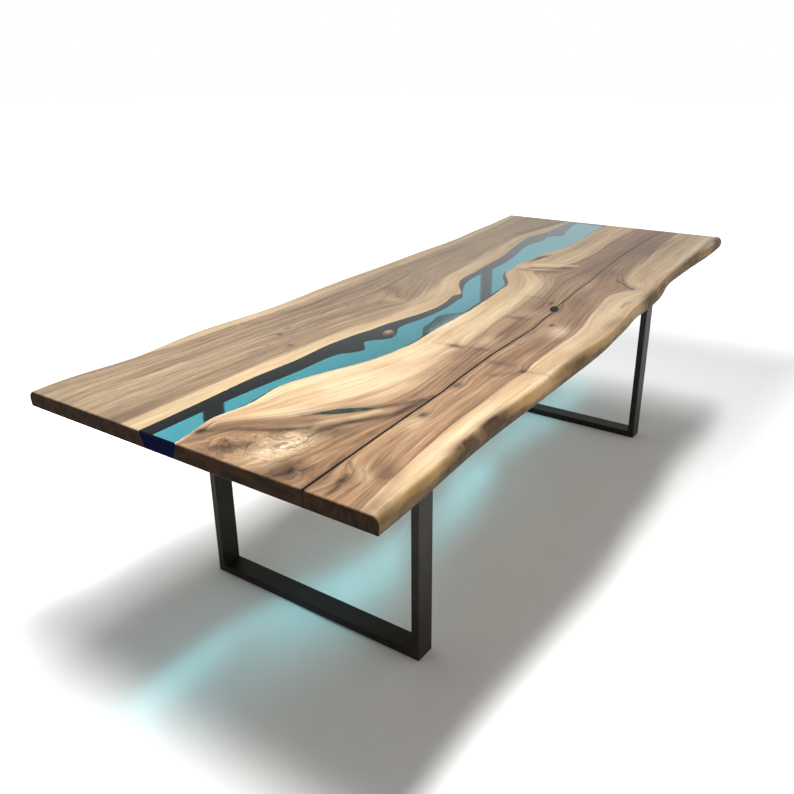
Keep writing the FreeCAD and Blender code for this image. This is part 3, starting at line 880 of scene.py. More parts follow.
@dataclass(frozen=True)
class FilledResinFinish:
    """Opaque coloured resin, poured into a flaw and planed flush."""

    name: str
    colour: Colour
    fleck: Colour

    def material(self) -> bpy.types.Material:
        """Builds the material.

        Returns:
            Smooth resin, slightly clouded.
        """
        t = start_material(self.name)
        place = t.place()
        cloud = t.step(t.noise(place, scale=60, detail=4), 0.35, 0.75)
        dust = t.noise(place, scale=900)
        t.show(t.principled(
            Base_Color=t.mix(cloud, self.colour, self.fleck),
            Roughness=t.scaled(dust, 0.2, 0.34), Specular_IOR_Level=0.06,
            Normal=t.bump(dust, 0.2),
        ))
        return t.owner


@dataclass(frozen=True)
class PowderCoatFinish:
    """Satin powder coat with its fine orange peel and rubbed corners."""

    name: str
    colour: Colour
    rubbed: Colour
    roughness: float = 0.42

    def material(self) -> bpy.types.Material:
        """Builds the material.

        Returns:
            Dark coat, clouded and paler where it is rubbed.
        """
        t = start_material(self.name)
        place = t.place()
        peel = t.noise(place, scale=900)
        cloud = t.noise(place, scale=7, detail=4)
        corner = t.add("ShaderNodeNewGeometry").outputs["Pointiness"]
        worn = t.product(t.step(corner, 0.53, 0.60), t.step(cloud, 0.40, 0.62))
        colour = t.mix(t.scaled(cloud, 0.5), self.colour, self.rubbed)
        rough = t.total(t.scaled(peel, 0.10, self.roughness), t.swing(cloud, 0.10))
        t.show(t.principled(
            Base_Color=t.mix(t.scaled(worn, 0.6), colour, self.rubbed), Roughness=rough,
            Metallic=0.1, Specular_IOR_Level=0.2, Normal=t.bump(peel, 0.25),
        ))
        return t.owner


@dataclass(frozen=True)
class MetalFinish:
    """Bare or blackened metal with fine turning marks."""

    name: str
    colour: Colour
    stain: Colour
    roughness: float

    def material(self) -> bpy.types.Material:
        """Builds the material.

        Returns:
            Metal with clouds of stain.
        """
        t = start_material(self.name)
        place = t.place()
        marks = t.noise(place, scale=700, detail=3)
        cloud = t.step(t.noise(place, scale=90, detail=3), 0.4, 0.7)
        t.show(t.principled(
            Base_Color=t.mix(cloud, self.colour, self.stain),
            Roughness=t.scaled(marks, 0.2, self.roughness), Metallic=1.0,
            Normal=t.bump(marks, 0.3),
        ))
        return t.owner


@dataclass(frozen=True)
class StudioFloorFinish:
    """Plain pale studio floor that runs out into a glowing sweep.

    The sweep starts to glow at the first distance from the table's middle and has its
    full glow at the second, along the table and across it.
    """

    name: str = "studio_floor"
    colour: Colour = (0.92, 0.92, 0.915)
    shade: float = 0.97
    glow: float = 1.0
    along: tuple[float, float] = (1.9, 3.1)
    across: tuple[float, float] = (0.70, 1.43)
    middle: float = 0.08

    def material(self) -> bpy.types.Material:
        """Builds the material.

        Returns:
            Floor that is lit from within beyond the table's surroundings.
        """
        t = start_material(self.name)
        place = t.place()
        dust = t.noise(place, scale=3, detail=5)
        x, y, _ = t.split(place)
        beyond_ends = t.step(t.math("ABSOLUTE", x), *self.along)
        beyond_sides = t.step(t.math("ABSOLUTE", t.total(y, -self.middle)), *self.across)
        beyond = t.math("MAXIMUM", beyond_ends, beyond_sides)
        shaded = tuple(part * self.shade for part in self.colour)
        t.show(t.principled(
            Base_Color=t.mix(dust, self.colour, shaded), Roughness=0.7,
            Specular_IOR_Level=0.2, Emission_Color=(1.0, 1.0, 1.0),
            Emission_Strength=t.scaled(beyond, self.glow),
        ))
        t.owner.cycles.emission_sampling = "NONE"
        return t.owner


# ---------------------------------------------------------------------------------------
# Figure of the two slabs
# ---------------------------------------------------------------------------------------

# Where the sapwood starts: place along the table, line across it.
BACK_BANK_SAP: Rows = (
    (-1370, 124), (-900, 124), (-500, 120), (-450, 104), (-300, 88), (-150, 80),
    (-50, 112), (0, 142), (50, 172), (100, 190), (200, 208), (350, 222), (500, 226),
    (600, 252), (850, 292), (1000, 285), (1370, 250),
)
BACK_EDGE_SAP: Rows = (
    (-1370, 480), (-1050, 450), (-950, 424), (-650, 422), (-600, 412), (-400, 412),
    (-300, 424), (0, 432), (300, 436), (400, 442), (900, 468), (1370, 525),
)
FRONT_BANK_SAP: Rows = (
    (-1370, 20), (-1250, 4), (-1200, -38), (-1150, -92), (-1100, -140), (-1000, -190),
    (-900, -235), (-800, -250), (-600, -240), (-500, -232), (-400, -223), (-300, -208),
    (-200, -198), (-100, -188), (0, -178), (100, -158), (200, -143), (250, -123),
    (300, -73), (350, -23), (385, 60), (425, 60), (480, 0), (520, -83), (550, -103),
    (700, -113), (800, -108), (950, -93), (1100, -88), (1370, -76),
)
FRONT_EDGE_SAP: Rows = (
    (-1370, -530), (-1200, -503), (-1050, -483), (-900, -468), (-700, -463), (-450, -453),
    (-200, -448), (-80, -423), (0, -408), (100, -393), (180, -378), (300, -393),
    (400, -353), (480, -323), (600, -313), (750, -303), (900, -283), (1370, -262),
)

# Where the wedge of dark heart ends: place along the table, line across it.
FRONT_WEDGE: Rows = (
    (-1370, -62), (-1270, -52), (-1200, -118), (-1100, -208), (-1000, -285), (-900, -335),
    (-800, -330), (-600, -300), (-300, -270), (0, -240), (300, -180), (600, -175),
    (1000, -150), (1370, -140),
)

BACK_FIGURE = Figure(
    guides=(BACK_BANK_LINE, BACK_BANK_SAP, BACK_EDGE_SAP, BACK_EDGE_LINE),
    knots=(
        Knot(-744, 160, 20, 8, 6, 1.3, 0.9), Knot(-778, 212, 16, 6, 4, 1.6, 0.7),
        Knot(-688, 246, 22, 9, 6, 1.8, 0.8), Knot(-635, 265, 22, 8, 6, 2.2, 0.6),
        Knot(-672, 411, 20, 7, 6, 1.2, 0.6), Knot(-226, 166, 70, 26, 0, 1.1, 0.0),
        Knot(-180, 186, 30, 12, 8, 1.6, 0.5), Knot(640, 400, 80, 14, 0, 2.6, 0.0),
    ),
    darks_and_shade=(
        Streak(((-1330, 330), (-700, 300), (-100, 330), (600, 400), (1330, 440)), 26, 0.14),
        Streak(((-1330, 190), (-800, 200), (-300, 240)), 22, 0.12),
        Patch(-127, 256, 52, 32, 25, 0.42), Patch(-150, 210, 70, 16, 35, 0.25),
        Patch(-255, 205, 50, 10, 20, 0.22), Patch(-700, 225, 110, 46, 15, 0.22),
        Patch(-1000, 470, 420, 45, 2, 0.35), Patch(-100, 460, 500, 30, 0, 0.20),
        Patch(-1290, 150, 120, 26, 0, 0.40), Patch(-900, 370, 90, 16, 0, 0.22),
        Patch(-1180, 400, 120, 18, 3, 0.16),
        Streak(((-495, 262), (-440, 284), (-385, 288)), 6, 0.32),
        Streak(((-380, 250), (-340, 268)), 6, 0.28),
        Streak(((940, 330), (1040, 292), (1330, 270)), 18, 0.26),
        Patch(620, 470, 60, 10, 0, 0.2),
    ),
    pales_and_sheen=(
        Patch(-222, 168, 30, 44, 0, 0.30),
        Streak(((-1325, 292), (-1280, 306), (-1230, 304)), 6, 0.35),
        Streak(((-1190, 316), (-1080, 290), (-1000, 300)), 7, 0.25),
        Patch(-1230, 330, 150, 130, 0, 0.18), Patch(-500, 1, 24, 16, 0, 1.6),
        Patch(-100, 112, 300, 26, 10, 0.55), Patch(380, 205, 300, 24, 12, 0.50),
        # Pale patch over the far end of the back board: painted sheen, the glare that the far end
        # of the top catches.
        Patch(950, 390, 420, 90, 3, 0.22),
    ),
    bosses=(Boss(-500, 1, 22, 15, 36),),
)
FRONT_FIGURE = Figure(
    guides=(
        FRONT_EDGE_LINE, FRONT_EDGE_SAP, SPLIT_BACK_LINE, FRONT_WEDGE, FRONT_BANK_SAP,
        FRONT_BANK_LINE,
    ),
    knots=(
        Knot(-1258, -52, 34, 22, 11, 1.5, 1.0), Knot(-1262, -432, 36, 26, 9, 2.2, 0.9),
        Knot(-930, -396, 30, 14, 9, 1.6, 0.9), Knot(-575, -458, 28, 12, 8, 1.4, 0.9),
        Knot(-740, -370, 24, 9, 9, 1.8, 0.7), Knot(-195, -361, 22, 9, 7, 1.5, 0.9),
        Knot(-39, -304, 46, 18, 8, 1.6, 0.9), Knot(20, -262, 22, 9, 7, 1.6, 0.8),
        Knot(314, -419, 50, 24, 9, 1.4, 1.0), Knot(222, -516, 30, 10, 7, 1.4, 0.7),
        Knot(-500, -218, 30, 10, 10, 1.2, 0.7), Knot(-1190, -235, 60, 20, 0, 1.2, 0.0),
        Knot(-397, -356, 14, 5, 4, 1.6, 0.6), Knot(450, -60, 90, 44, 0, 1.0, 0.0),
    ),
    darks_and_shade=(
        stained_rim(3), stained_rim(5),
        Streak(((-1258, -56), (-1205, -110), (-1168, -178), (-1122, -232)), 12, 0.65),
        Streak(((-1240, -62), (-1180, -105), (-1130, -170), (-1085, -215)), 17, 0.45),
        Streak(((-1122, -258), (-1055, -282), (-1010, -312), (-965, -342), (-860, -352)),
               14, 0.85),
        Streak(((-1140, -240), (-1080, -262)), 12, 0.5),
        Streak(((-900, -345), (-830, -358)), 9, 0.8),
        Patch(-1290, -145, 55, 24, -45, 0.6), Patch(-1290, -325, 45, 34, 0, 0.8),
        Patch(-1110, -285, 50, 24, -20, 0.6), Patch(-1190, -482, 46, 28, 30, 0.60),
        Streak(((-1316, -440), (-1290, -440), (-1262, -432), (-1238, -426)), 7, 0.75),
        Streak(((-1262, -436), (-1225, -430), (-1196, -400)), 4, 0.45),
        Streak(((-1290, -462), (-1240, -468), (-1205, -440)), 4, 0.35),
        Patch(-501, -222, 15, 26, 0, 0.85), Patch(-489, -288, 11, 42, 8, 0.50),
        Streak(((-508, -150), (-503, -205)), 4, 0.25),
        Patch(-560, -262, 60, 24, 0, 0.25),
        Patch(-184, -242, 17, 38, 12, 0.50), Patch(56, -204, 15, 38, 22, 0.42),
        Patch(10, -266, 22, 7, 0, 0.8),
        # A dark hollow by the front bank: dark wood, and painted shade in the hollow.
        Patch(552, 38, 66, 13, -4, 1.0), Patch(600, 26, 36, 11, 0, 0.7),
        Streak(((404, -6), (432, -62), (470, -126)), 12, 0.75),
        Streak(((358, 20), (370, -50), (396, -120)), 15, 0.4),
        Streak(((-575, -458), (-566, -495), (-560, -535)), 5, 0.4),
        Streak(((-640, -405), (-600, -440), (-575, -458)), 10, 0.35),
        Patch(-556, -380, 17, 48, 8, 0.50),
        Streak(((318, -412), (352, -382), (395, -336)), 7, 0.75),
        Streak(((335, -425), (385, -372), (420, -345)), 5, 0.5),
        Streak(((90, -464), (130, -462), (160, -466)), 5, 0.55),
        Patch(-640, -330, 120, 30, 5, 0.30), Patch(60, -330, 130, 34, 12, 0.30),
        Patch(700, -200, 260, 50, 4, 0.35), Patch(1100, -170, 260, 50, 3, 0.30),
        Patch(480, -250, 100, 90, 0, 0.35), Patch(-350, -300, 130, 30, 6, 0.25),
        Patch(-20, -230, 120, 40, 8, 0.25), Patch(900, -260, 260, 40, 4, 0.30),
        Patch(1050, -380, 330, 26, 4, 0.22), Patch(900, -20, 300, 30, 3, 0.15),
        Streak(((-1078, -178), (-1010, -234), (-950, -290)), 12, 0.5),
        Streak(((-955, -287), (-915, -318), (-870, -345)), 10, 0.7),
        # The patches here that lie at the front edge, from about -445 to -570 across, darken its
        # live edge: bark, and painted shade low on the edge.
        Patch(-870, -538, 90, 17, 0, 1.3), Patch(-985, -550, 70, 22, 0, 1.4),
        Patch(-1060, -556, 50, 16, 0, 0.8), Patch(960, -345, 420, 28, 3, 0.30),
        Patch(-1320, -560, 90, 50, 0, 0.50),
        Patch(-1185, -568, 70, 20, 0, 0.7), Patch(-420, -530, 120, 14, 2, 0.6),
        Patch(290, -495, 120, 16, 5, 0.9), Patch(-90, -500, 60, 10, 0, 0.4),
        Patch(900, -452, 420, 12, 3, 0.80), Patch(1260, -445, 80, 18, 5, 0.9),
    ),
    pales_and_sheen=(
        Patch(-1212, -240, 72, 38, -8, 1.0), Patch(-1290, -272, 36, 16, -20, 0.35),
        Patch(-1080, -140, 90, 26, -42, 0.5),
        Patch(-1220, -452, 34, 16, 40, 0.35), Patch(-970, -405, 46, 20, 10, 0.35),
        Patch(-236, -402, 50, 30, 8, 0.6), Patch(-325, -482, 60, 22, 4, 0.45),
        Patch(-420, -280, 52, 26, 5, 0.35), Patch(-120, -260, 40, 26, 5, 0.25),
        Patch(-850, -150, 170, 60, -20, 0.6), Patch(-600, -160, 150, 50, 2, 0.6),
        Patch(-330, -150, 120, 34, 4, 0.40), Patch(-860, -262, 120, 26, -8, 0.35),
        Patch(-960, -505, 220, 16, 3, 0.5),
        Streak(((449, 4), (486, -62), (518, -134)), 11, 0.62),
        Streak(((-1092, -232), (-1040, -272), (-965, -302)), 9, 0.4),
        Patch(150, -500, 90, 16, 4, 1.0), Patch(-1200, -578, 40, 10, 0, 0.5),
        Patch(-595, -525, 60, 16, 0, 0.6), Patch(-150, -160, 330, 44, 5, 0.50),
        Patch(160, -130, 150, 40, 15, 0.6), Patch(60, -455, 400, 26, 4, 0.45),
        Patch(-320, -25, 170, 90, 0, 1.6), Patch(960, -422, 430, 20, 3, 0.70),
    ),
    burls=(
        Patch(-1275, -165, 80, 55, -40, 1.0), Patch(-1200, -235, 80, 60, 0, 0.7),
        Patch(-1290, -320, 50, 40, 0, 0.5), Patch(-1110, -280, 60, 26, -20, 0.5),
    ),
)


# ---------------------------------------------------------------------------------------
# The top
# ---------------------------------------------------------------------------------------


@dataclass
class Board:
    """One natural board of the top, built with its live edges and its grain field.

    The mesh is a row of closed sections along the table.  A spot in a section is its
    step across the board and its level, and both sawn ends are closed with a grid.  The
    faces lie sunk by a hair, and the banks stand proud of their lines into the resin.
    """

    node: str
    near: NaturalLine
    far: NaturalLine
    figure: Figure
    pitch: float = 0.0055
    proud: float = 0.0008
    sunk: float = 0.0001
    arris: float = 0.0032
    live_wave: float = 0.0012
    bank_wave: float = 0.0016
    crease: float = math.radians(28)
    sap_lean: float = 0.35
    skin_span: tuple[float, float] = (0.03, 0.15)
    levels: tuple[float, ...] = (
        0.0, 0.03, 0.08, 0.16, 0.28, 0.42, 0.55, 0.70, 0.84, 0.93, 0.98, 1.0,
    )

    @cached_property
    def columns(self) -> np.ndarray:
        """Places of the sections along the table.

        Returns:
            The places, with one section at each broken end.
        """
        half = LENGTH / 2 - self.sunk
        inner = half - EDGE_BREAK
        count = round(2 * inner / self.pitch)
        return np.concatenate(([-half], np.linspace(-inner, inner, count + 1), [half]))

    @cached_property
    def steps(self) -> int:
        """Number of steps across the board."""
        widths = np.abs(self.far.at(self.columns, 0.0) - self.near.at(self.columns, 0.0))
        return round(float(np.mean(widths)) / self.pitch)

    @cached_property
    def section(self) -> list[tuple[int, int]]:
        """Spots round one section.

        Returns:
            Step and level of each spot: face, far side, underside, then near side.
        """
        across = range(self.steps + 1)
        under = len(self.levels) - 1
        spots = [(step, 0) for step in across]
        spots += [(self.steps, level) for level in range(1, under)]
        spots += [(step, under) for step in reversed(across)]
        spots += [(0, level) for level in range(under - 1, 0, -1)]
        return spots

    @cached_property
    def inside(self) -> list[tuple[int, int]]:
        """Spots within one section, which only the sawn ends need."""
        return [(step, level) for level in range(1, len(self.levels) - 1)
                for step in range(1, self.steps)]

    @cached_property
    def sides(self) -> tuple[np.ndarray, ...]:
        """Near and far side, by level and section."""
        return tuple(np.array([self.side(line, level) for level in self.levels])
                     for line in (self.near, self.far))

    def side(self, line: NaturalLine, depth: float) -> np.ndarray:
        """One side of the board at one depth.

        Args:
            line: Natural line of that side.
            depth: Share of the thickness.

        Returns:
            Places across the table, with the small hollows and bumps of the real edge.
        """
        places = self.columns
        across = line.at(places, depth)
        out = line.outward.value
        if not line.shaped:
            return across
        waves = sum(strength * np.sin(places * quick + depth * turn + start)
                    * np.sin(places * slow + shift)
                    for strength, quick, turn, start, slow, shift in EDGE_WAVES)
        belly = math.sin(math.pi * depth)
        if not line.live:
            return across + out * (self.proud + self.bank_wave * np.abs(waves) * belly)
        short = max(self.arris - min(depth, 1 - depth) * THICKNESS, 0)
        corner = self.arris - math.sqrt(self.arris**2 - short**2)
        return across + out * (self.live_wave * waves * belly - corner)

    def laid(self, columns: Sequence[int], spots: Sequence[tuple[int, int]]
             ) -> tuple[np.ndarray, np.ndarray]:
        """Points of some sections.

        Args:
            columns: Numbers of the sections.
            spots: Step and level of each point in a section.

        Returns:
            The points, and the share of the width and of the depth of each.
        """
        picked = np.array(columns)
        steps, levels = np.array(spots).T
        shares, depths = steps / self.steps, np.array(self.levels)[levels]
        near, far = (side[levels][:, picked].T for side in self.sides)
        end = (picked == 0) | (picked == len(self.columns) - 1)
        inset = self.sunk + np.where(end, EDGE_BREAK, 0.0)[:, None]
        y = near * (1 - shares) + far * shares
        z = (TOP - inset) * (1 - depths) + (TOP - THICKNESS + inset) * depths
        x = np.broadcast_to(self.columns[picked][:, None], y.shape)
        points = np.stack((x, y, z), axis=-1).reshape(-1, 3)
        return points, np.tile(np.stack((shares, depths), axis=-1), (len(picked), 1))

    def build(self) -> bpy.types.Object:
        """Builds the closed mesh of the board.

        Returns:
            The board, standing for its solid, with its grain field stored on it.
        """
        last = len(self.columns) - 1
        around = len(self.section)
        points, facts = self.laid(range(last + 1), self.section)
        faces = []
        for start in range(0, last * around, around):
            for step in range(around):
                a, b = start + step, start + (step + 1) % around
                faces.append((a, a + around, b + around, b))
        faces += self.cap(0, len(points), flip=False)
        faces += self.cap(last * around, len(points) + len(self.inside), flip=True)
        end_points, end_facts = self.laid((0, last), self.inside)
        points = np.concatenate((points, end_points))
        self.raise_bosses(points)

        mesh = bpy.data.meshes.new(self.node)
        mesh.from_pydata(points, [], faces)
        mesh.update()
        self.store(mesh, points, np.concatenate((facts, end_facts)))
        board = bpy.data.objects.new(f"{self.node}_timber", mesh)
        bpy.context.collection.objects.link(board)
        self.shade(mesh)
        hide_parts(self.node)
        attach(board, "root")
        return board

    def cap(self, ring: int, grid: int, flip: bool) -> list[tuple[int, ...]]:
        """Closes one sawn end with a grid.

        Args:
            ring: Number of the first point of the end's section.
            grid: Number of the first point within it.
            flip: Whether the faces turn the other way.

        Returns:
            The faces of the cap.
        """
        index = {spot: ring + step for step, spot in enumerate(self.section)}
        index |= {spot: grid + step for step, spot in enumerate(self.inside)}
        faces = []
        for level in range(len(self.levels) - 1):
            for step in range(self.steps):
                corners = ((step, level), (step + 1, level),
                           (step + 1, level + 1), (step, level + 1))
                quad = tuple(index[spot] for spot in corners)
                faces.append(quad[::-1] if flip else quad)
        return faces

    def raise_bosses(self, points: np.ndarray) -> None:
        """Lifts the bank under each boss, leaving the underside and the upper face.

        Args:
            points: Points of the mesh, moved in place.
        """
        ceiling = TOP - 2 * self.sunk
        for boss in self.figure.bosses:
            along = (points[:, 0] - boss.x * MM) / (boss.long * MM)
            across = (points[:, 1] - boss.y * MM) / (boss.wide * MM)
            lift = boss.rise * MM * np.exp(-(along**4) - across**4)
            height = points[:, 2]
            inside = (height > TOP - THICKNESS + 2 * self.sunk) & (height < ceiling)
            points[:, 2] = np.where(inside, np.minimum(height + lift, ceiling), height)

    def store(self, mesh: bpy.types.Mesh, points: np.ndarray, facts: np.ndarray) -> None:
        """Stores the grain field.

        Args:
            mesh: Mesh of the board.
            points: Its points.
            facts: Share of the width and of the depth of each point.
        """
        x, y, z = points.T
        share, depth = facts.T
        deep = TOP - z
        across, values = self.figure.flow(x, y)
        dark = strongest(self.figure.darks_and_shade, x, y)
        for knot in self.figure.knots:
            across += knot.bend(x, y, deep)
            dark = np.maximum(dark, knot.darkness(x, y))
        pale_and_sheen = strongest(self.figure.pales_and_sheen, x, y)
        burl = strongest(self.figure.burls, x, y)
        sap = np.maximum(across - values[-2], values[1] - across) - self.sap_lean * deep
        skin = np.zeros(len(x))
        bank = np.zeros(len(x))
        for line, at_side in ((self.near, share <= 0.0), (self.far, share >= 1.0)):
            if line.live:
                skin = np.where(at_side, np.interp(depth, self.skin_span, (0, 1)), skin)
            elif line.shaped:
                bank = np.where(at_side & (depth > 0.0), 1.0, bank)
        sawn = np.where(np.abs(x) > LENGTH / 2 - 0.5 * EDGE_BREAK, 1.0, 0.0)
        self.attribute(mesh, "grain", x, across, deep)
        self.attribute(mesh, "tone", sap, dark, pale_and_sheen)
        self.attribute(mesh, "skin", skin, bank, burl)
        self.attribute(mesh, "sawn", sawn, depth, share)

    @staticmethod
    def attribute(mesh: bpy.types.Mesh, name: str, *values: np.ndarray) -> None:
        """Stores three numbers for each point of a mesh."""
        made = mesh.attributes.new(name, "FLOAT_VECTOR", "POINT")
        made.data.foreach_set("vector", np.stack(values, axis=1).astype(np.float32).ravel())

    def shade(self, mesh: bpy.types.Mesh) -> None:
        """Smooths the faces, and keeps sharp the edges that were sawn or planed.

        Args:
            mesh: Mesh of the board.
        """
        build = bmesh.new()
        build.from_mesh(mesh)
        bmesh.ops.recalc_face_normals(build, faces=build.faces)
        for face in build.faces:
            face.smooth = True
        for edge in build.edges:
            if len(edge.link_faces) == 2 and edge.calc_face_angle() > self.crease:
                edge.smooth = False
        build.to_mesh(mesh)
        build.free()


def dress(piece: bpy.types.Object, finish: bpy.types.Material) -> None:
    """Puts a finish in every material slot of a piece.

    Args:
        piece: The piece.
        finish: Its material.
    """
    if not piece.material_slots:
        piece.data.materials.append(finish)
    for slot in piece.material_slots:
        slot.material = finish
    LOG.info("%s: dressed with %s", piece.name, finish.name)


@dataclass
class TableTop:
    """Boards, river and fills."""

    nodes: dict[str, bpy.types.Object]
    back_walnut: WalnutFinish = WalnutFinish(
        "walnut_back",
        heart=(srgb(94, 75, 56), srgb(137, 115, 91), srgb(167, 146, 118)),
        sap=(srgb(144, 118, 86), srgb(170, 146, 113), srgb(190, 168, 134)),
        ring_share=0.42,
        thread_share=0.44,
    )
    front_walnut: WalnutFinish = WalnutFinish(
        "walnut_front",
        islet=srgb(104, 104, 100),
        heart=(srgb(78, 53, 34), srgb(135, 105, 78), srgb(165, 135, 103)),
        sap=(srgb(138, 106, 74), srgb(170, 141, 107), srgb(206, 184, 150)),
    )
    river_resin: ClearResinFinish = ClearResinFinish(
        "river_resin", tint=(0.14, 0.62, 0.665), density=66.0,
    )
    black_resin: FilledResinFinish = FilledResinFinish(
        "black_resin", colour=srgb(7, 6, 6), fleck=srgb(17, 15, 14),
    )
    teal_resin: FilledResinFinish = FilledResinFinish(
        "teal_resin", colour=srgb(22, 44, 42), fleck=srgb(62, 66, 52),
    )

    def build(self) -> None:
        """Builds the boards and dresses every piece of the top."""
        back = Board("back_board", BACK_BANK_LINE, BACK_EDGE_LINE, BACK_FIGURE)
        inner = Board("front_inner_board", SPLIT_BACK_LINE, FRONT_BANK_LINE, FRONT_FIGURE)
        outer = Board("front_outer_board", FRONT_EDGE_LINE, SPLIT_FRONT_LINE, FRONT_FIGURE)
        back_wood = self.back_walnut.material()
        front_wood = self.front_walnut.material()
        for board, wood in ((back, back_wood), (inner, front_wood), (outer, front_wood)):
            made = board.build()
            LOG.info("%s: %d faces", made.name, len(made.data.polygons))
            dress(made, wood)
        dress(self.nodes["resin_river"], self.river_resin.material())
        dress(self.nodes["black_split_fill"], self.black_resin.material())
        dress(self.nodes["teal_check_fill"], self.teal_resin.material())


# ---------------------------------------------------------------------------------------
# Leg frames
# ---------------------------------------------------------------------------------------


@dataclass
class LegFrames:
    """Both steel leg frames with their plates and fixings."""

    nodes: dict[str, bpy.types.Object]
    coat: PowderCoatFinish = PowderCoatFinish(
        "bronze_black_coat", colour=srgb(29, 25, 21), rubbed=srgb(44, 39, 33),
    )
    bolts: MetalFinish = MetalFinish(
        "black_oxide", colour=srgb(52, 50, 50), stain=srgb(34, 32, 32), roughness=0.35,
    )
    brass: MetalFinish = MetalFinish(
        "insert_brass", colour=srgb(196, 158, 84), stain=srgb(150, 116, 60), roughness=0.3,
    )

    def dress(self) -> None:
        """Dresses the tubes, plates, bolts and inserts."""
        finishes = (
            (("_post", "_rail", "_plate"), self.coat.material()),
            (("_bolts",), self.bolts.material()),
            (("_inserts",), self.brass.material()),
        )
        for name, node in self.nodes.items():
            for endings, finish in finishes:
                if name.endswith(endings):
                    dress(node, finish)


# ---------------------------------------------------------------------------------------
# Studio
# ---------------------------------------------------------------------------------------


@dataclass(frozen=True)
class LampStrip:
    """A long strip of gridded lamps, hung askew above the table.

    Growth is how much wider the table's shadow is than the table; it sets a lamp's
    height, and goes from its near to its far value over the growth span.  A lamp's place
    across keeps the shadow of the front edge on the shadow line.  The beam is an oval:
    its share along the strip, near and far, says how far the resin's streak blurs.
    Gains are the share of the power at some places along the strip.
    """

    start: float = -2.7
    end: float = 3.3
    pitch: float = 0.30
    tilt: float = 0.095
    width: float = 0.20
    near_growth: float = 0.305
    far_growth: float = 0.14
    growth_span: tuple[float, float] = (-1.05, 0.25)
    front_middle: float = -0.52
    front_slant: float = 0.05
    shadow_line: float = -0.612
    beam: float = math.radians(126.9)
    near_share: float = 0.15
    far_share: float = 0.375
    share_span: tuple[float, float] = (-1.0, 1.3)
    full_drop: float = 2.64
    power: float = 28.5
    gains: Rows = (
        (-2.7, 1.0), (-1.8, 0.98), (-1.5, 0.87), (-1.2, 0.88), (-0.9, 1.02), (-0.6, 1.06),
        (-0.3, 1.05), (0.0, 0.95), (0.3, 0.80), (0.6, 0.66), (1.0, 0.57), (1.3, 0.49),
        (3.3, 0.47),
    )

    def hang(self) -> None:
        """Hangs every lamp of the strip."""
        for number in range(round((self.end - self.start) / self.pitch) + 1):
            self.hang_lamp(number)

    def hang_lamp(self, number: int) -> None:
        """Hangs one lamp.

        Args:
            number: Its number along the strip, from the left-hand end.
        """
        x = self.start + number * self.pitch
        growth = np.interp(x, self.growth_span, (self.near_growth, self.far_growth))
        share = np.interp(x, self.share_span, (self.near_share, self.far_share))
        height = TOP * (1 + growth) / growth
        front = self.front_middle + self.front_slant * np.clip(x, -LENGTH / 2, LENGTH / 2)
        across = ((1 + growth) * front - self.shadow_line) / growth
        aside = (height - TOP) * math.tan(self.tilt)
        taller = (height - TOP) / self.full_drop
        lamp = bpy.data.lights.new(f"strip_lamp_{number}", "SPOT")
        lamp.energy = self.power * taller * np.interp(x, *zip(*self.gains)) / share
        lamp.spot_size = self.beam
        lamp.spot_blend = 1.0
        lamp.shadow_soft_size = self.width * taller
        made = bpy.data.objects.new(lamp.name, lamp)
        made.location = (x + aside, across, height)
        made.rotation_euler = (0.0, self.tilt, 0.0)
        made.scale = (share, 1.0, 1.0)
        bpy.context.collection.objects.link(made)


@dataclass(frozen=True)
class Room:
    """White room: dimmer to the left, brighter low down, plain white where it shows.

    A soft dark flag stands where the resin's near end would mirror the room.
    """

    white: Colour = (1.0, 1.0, 1.0)
    colour: Colour = (0.95, 0.985, 1.0)
    strength: float = 0.41
    dim_share: float = 0.25
    dim_span: tuple[float, float] = (-0.9, 0.1)
    horizon_gain: float = 3.0
    horizon_span: tuple[float, float] = (0.0, 0.5)
    flag_way: tuple[float, float, float] = (0.557, 0.557, 0.616)
    flag_reach: float = math.radians(26)
    flag_core: float = math.radians(10)
    flag_share: float = 0.52

    def build(self) -> None:
        """Lights the room through the world."""
        world = bpy.data.worlds.new("studio_room")
        bpy.context.scene.world = world
        t = Tree(world, "ShaderNodeOutputWorld")
        way = t.add("ShaderNodeTexCoord").outputs["Generated"]
        x, _, z = t.split(way)
        side = t.step(x, *self.dim_span, self.dim_share * self.strength, self.strength)
        low = t.step(z, *self.horizon_span, self.horizon_gain, 1.0, "LINEAR")
        toward = t.add("ShaderNodeVectorMath", {0: way, 1: self.flag_way},
                       operation="DOT_PRODUCT").outputs["Value"]
        flag = t.step(toward, math.cos(self.flag_reach), math.cos(self.flag_core), 1.0,
                      self.flag_share)
        lit = t.background(self.colour, t.product(side, low, flag))
        shown = t.background(self.white, 1.0)
        seen = t.add("ShaderNodeLightPath").outputs["Is Camera Ray"]
        t.show(t.blend(seen, lit, shown))


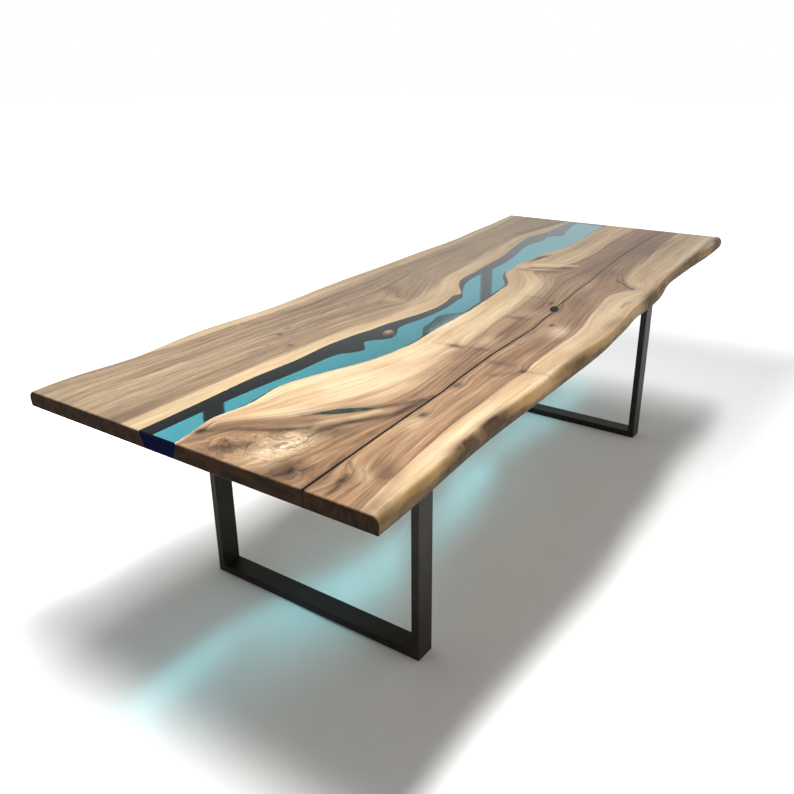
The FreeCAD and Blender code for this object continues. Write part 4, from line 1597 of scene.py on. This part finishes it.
@dataclass(frozen=True)
class StudioCamera:
    """Camera at the table's near left-hand corner; focal length and frame in pixels."""

    eye: tuple[float, float, float] = (-2.26848, -1.26145, 1.47607)
    yaw: float = 0.960499
    pitch: float = 0.399925
    roll: float = -0.010082
    focal: float = 799.655
    frame: float = 794.0
    sensor: float = 36.0
    clip: tuple[float, float] = (0.05, 200.0)

    def place(self) -> None:
        """Makes the camera and turns it to the table."""
        ahead = Vector((math.sin(self.yaw) * math.cos(self.pitch),
                        math.cos(self.yaw) * math.cos(self.pitch), -math.sin(self.pitch)))
        level = Vector((math.cos(self.yaw), -math.sin(self.yaw), 0.0))
        up = level.cross(ahead)
        right = math.cos(self.roll) * level + math.sin(self.roll) * up
        above = math.cos(self.roll) * up - math.sin(self.roll) * level
        data = bpy.data.cameras.new("studio_camera")
        data.sensor_fit = "HORIZONTAL"
        data.sensor_width = self.sensor
        data.lens = self.sensor * self.focal / self.frame
        data.clip_start, data.clip_end = self.clip
        camera = bpy.data.objects.new("studio_camera", data)
        turn = Matrix((right, above, -ahead)).transposed().to_4x4()
        camera.matrix_world = Matrix.Translation(self.eye) @ turn
        bpy.context.collection.objects.link(camera)
        bpy.context.scene.camera = camera


@dataclass
class Studio:
    """Floor, light and camera."""

    floor_size: float = 60.0
    floor_finish: StudioFloorFinish = StudioFloorFinish()
    strip: LampStrip = LampStrip()
    room: Room = Room()
    camera: StudioCamera = StudioCamera()

    def build(self) -> None:
        """Sets up the whole studio."""
        self.lay_floor()
        self.strip.hang()
        self.room.build()
        self.camera.place()
        view = bpy.context.scene.view_settings
        view.view_transform = "Standard"
        view.look = "None"
        view.exposure = 0.0
        view.gamma = 1.0

    def lay_floor(self) -> None:
        """Lays the plain pale floor."""
        half = self.floor_size / 2
        mesh = bpy.data.meshes.new("studio_floor")
        corners = [(-half, -half, 0), (half, -half, 0), (half, half, 0), (-half, half, 0)]
        mesh.from_pydata(corners, [], [(0, 1, 2, 3)])
        floor = bpy.data.objects.new("studio_floor", mesh)
        bpy.context.collection.objects.link(floor)
        mesh.materials.append(self.floor_finish.material())
        LOG.info("%s: laid", floor.name)


def main() -> None:
    """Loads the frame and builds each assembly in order."""
    logging.basicConfig(level=logging.INFO, format="%(message)s")
    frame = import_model()
    nodes = frame["nodes"]
    TableTop(nodes).build()
    LegFrames(nodes).dress()
    Studio().build()


if __name__ == "__main__":
    main()
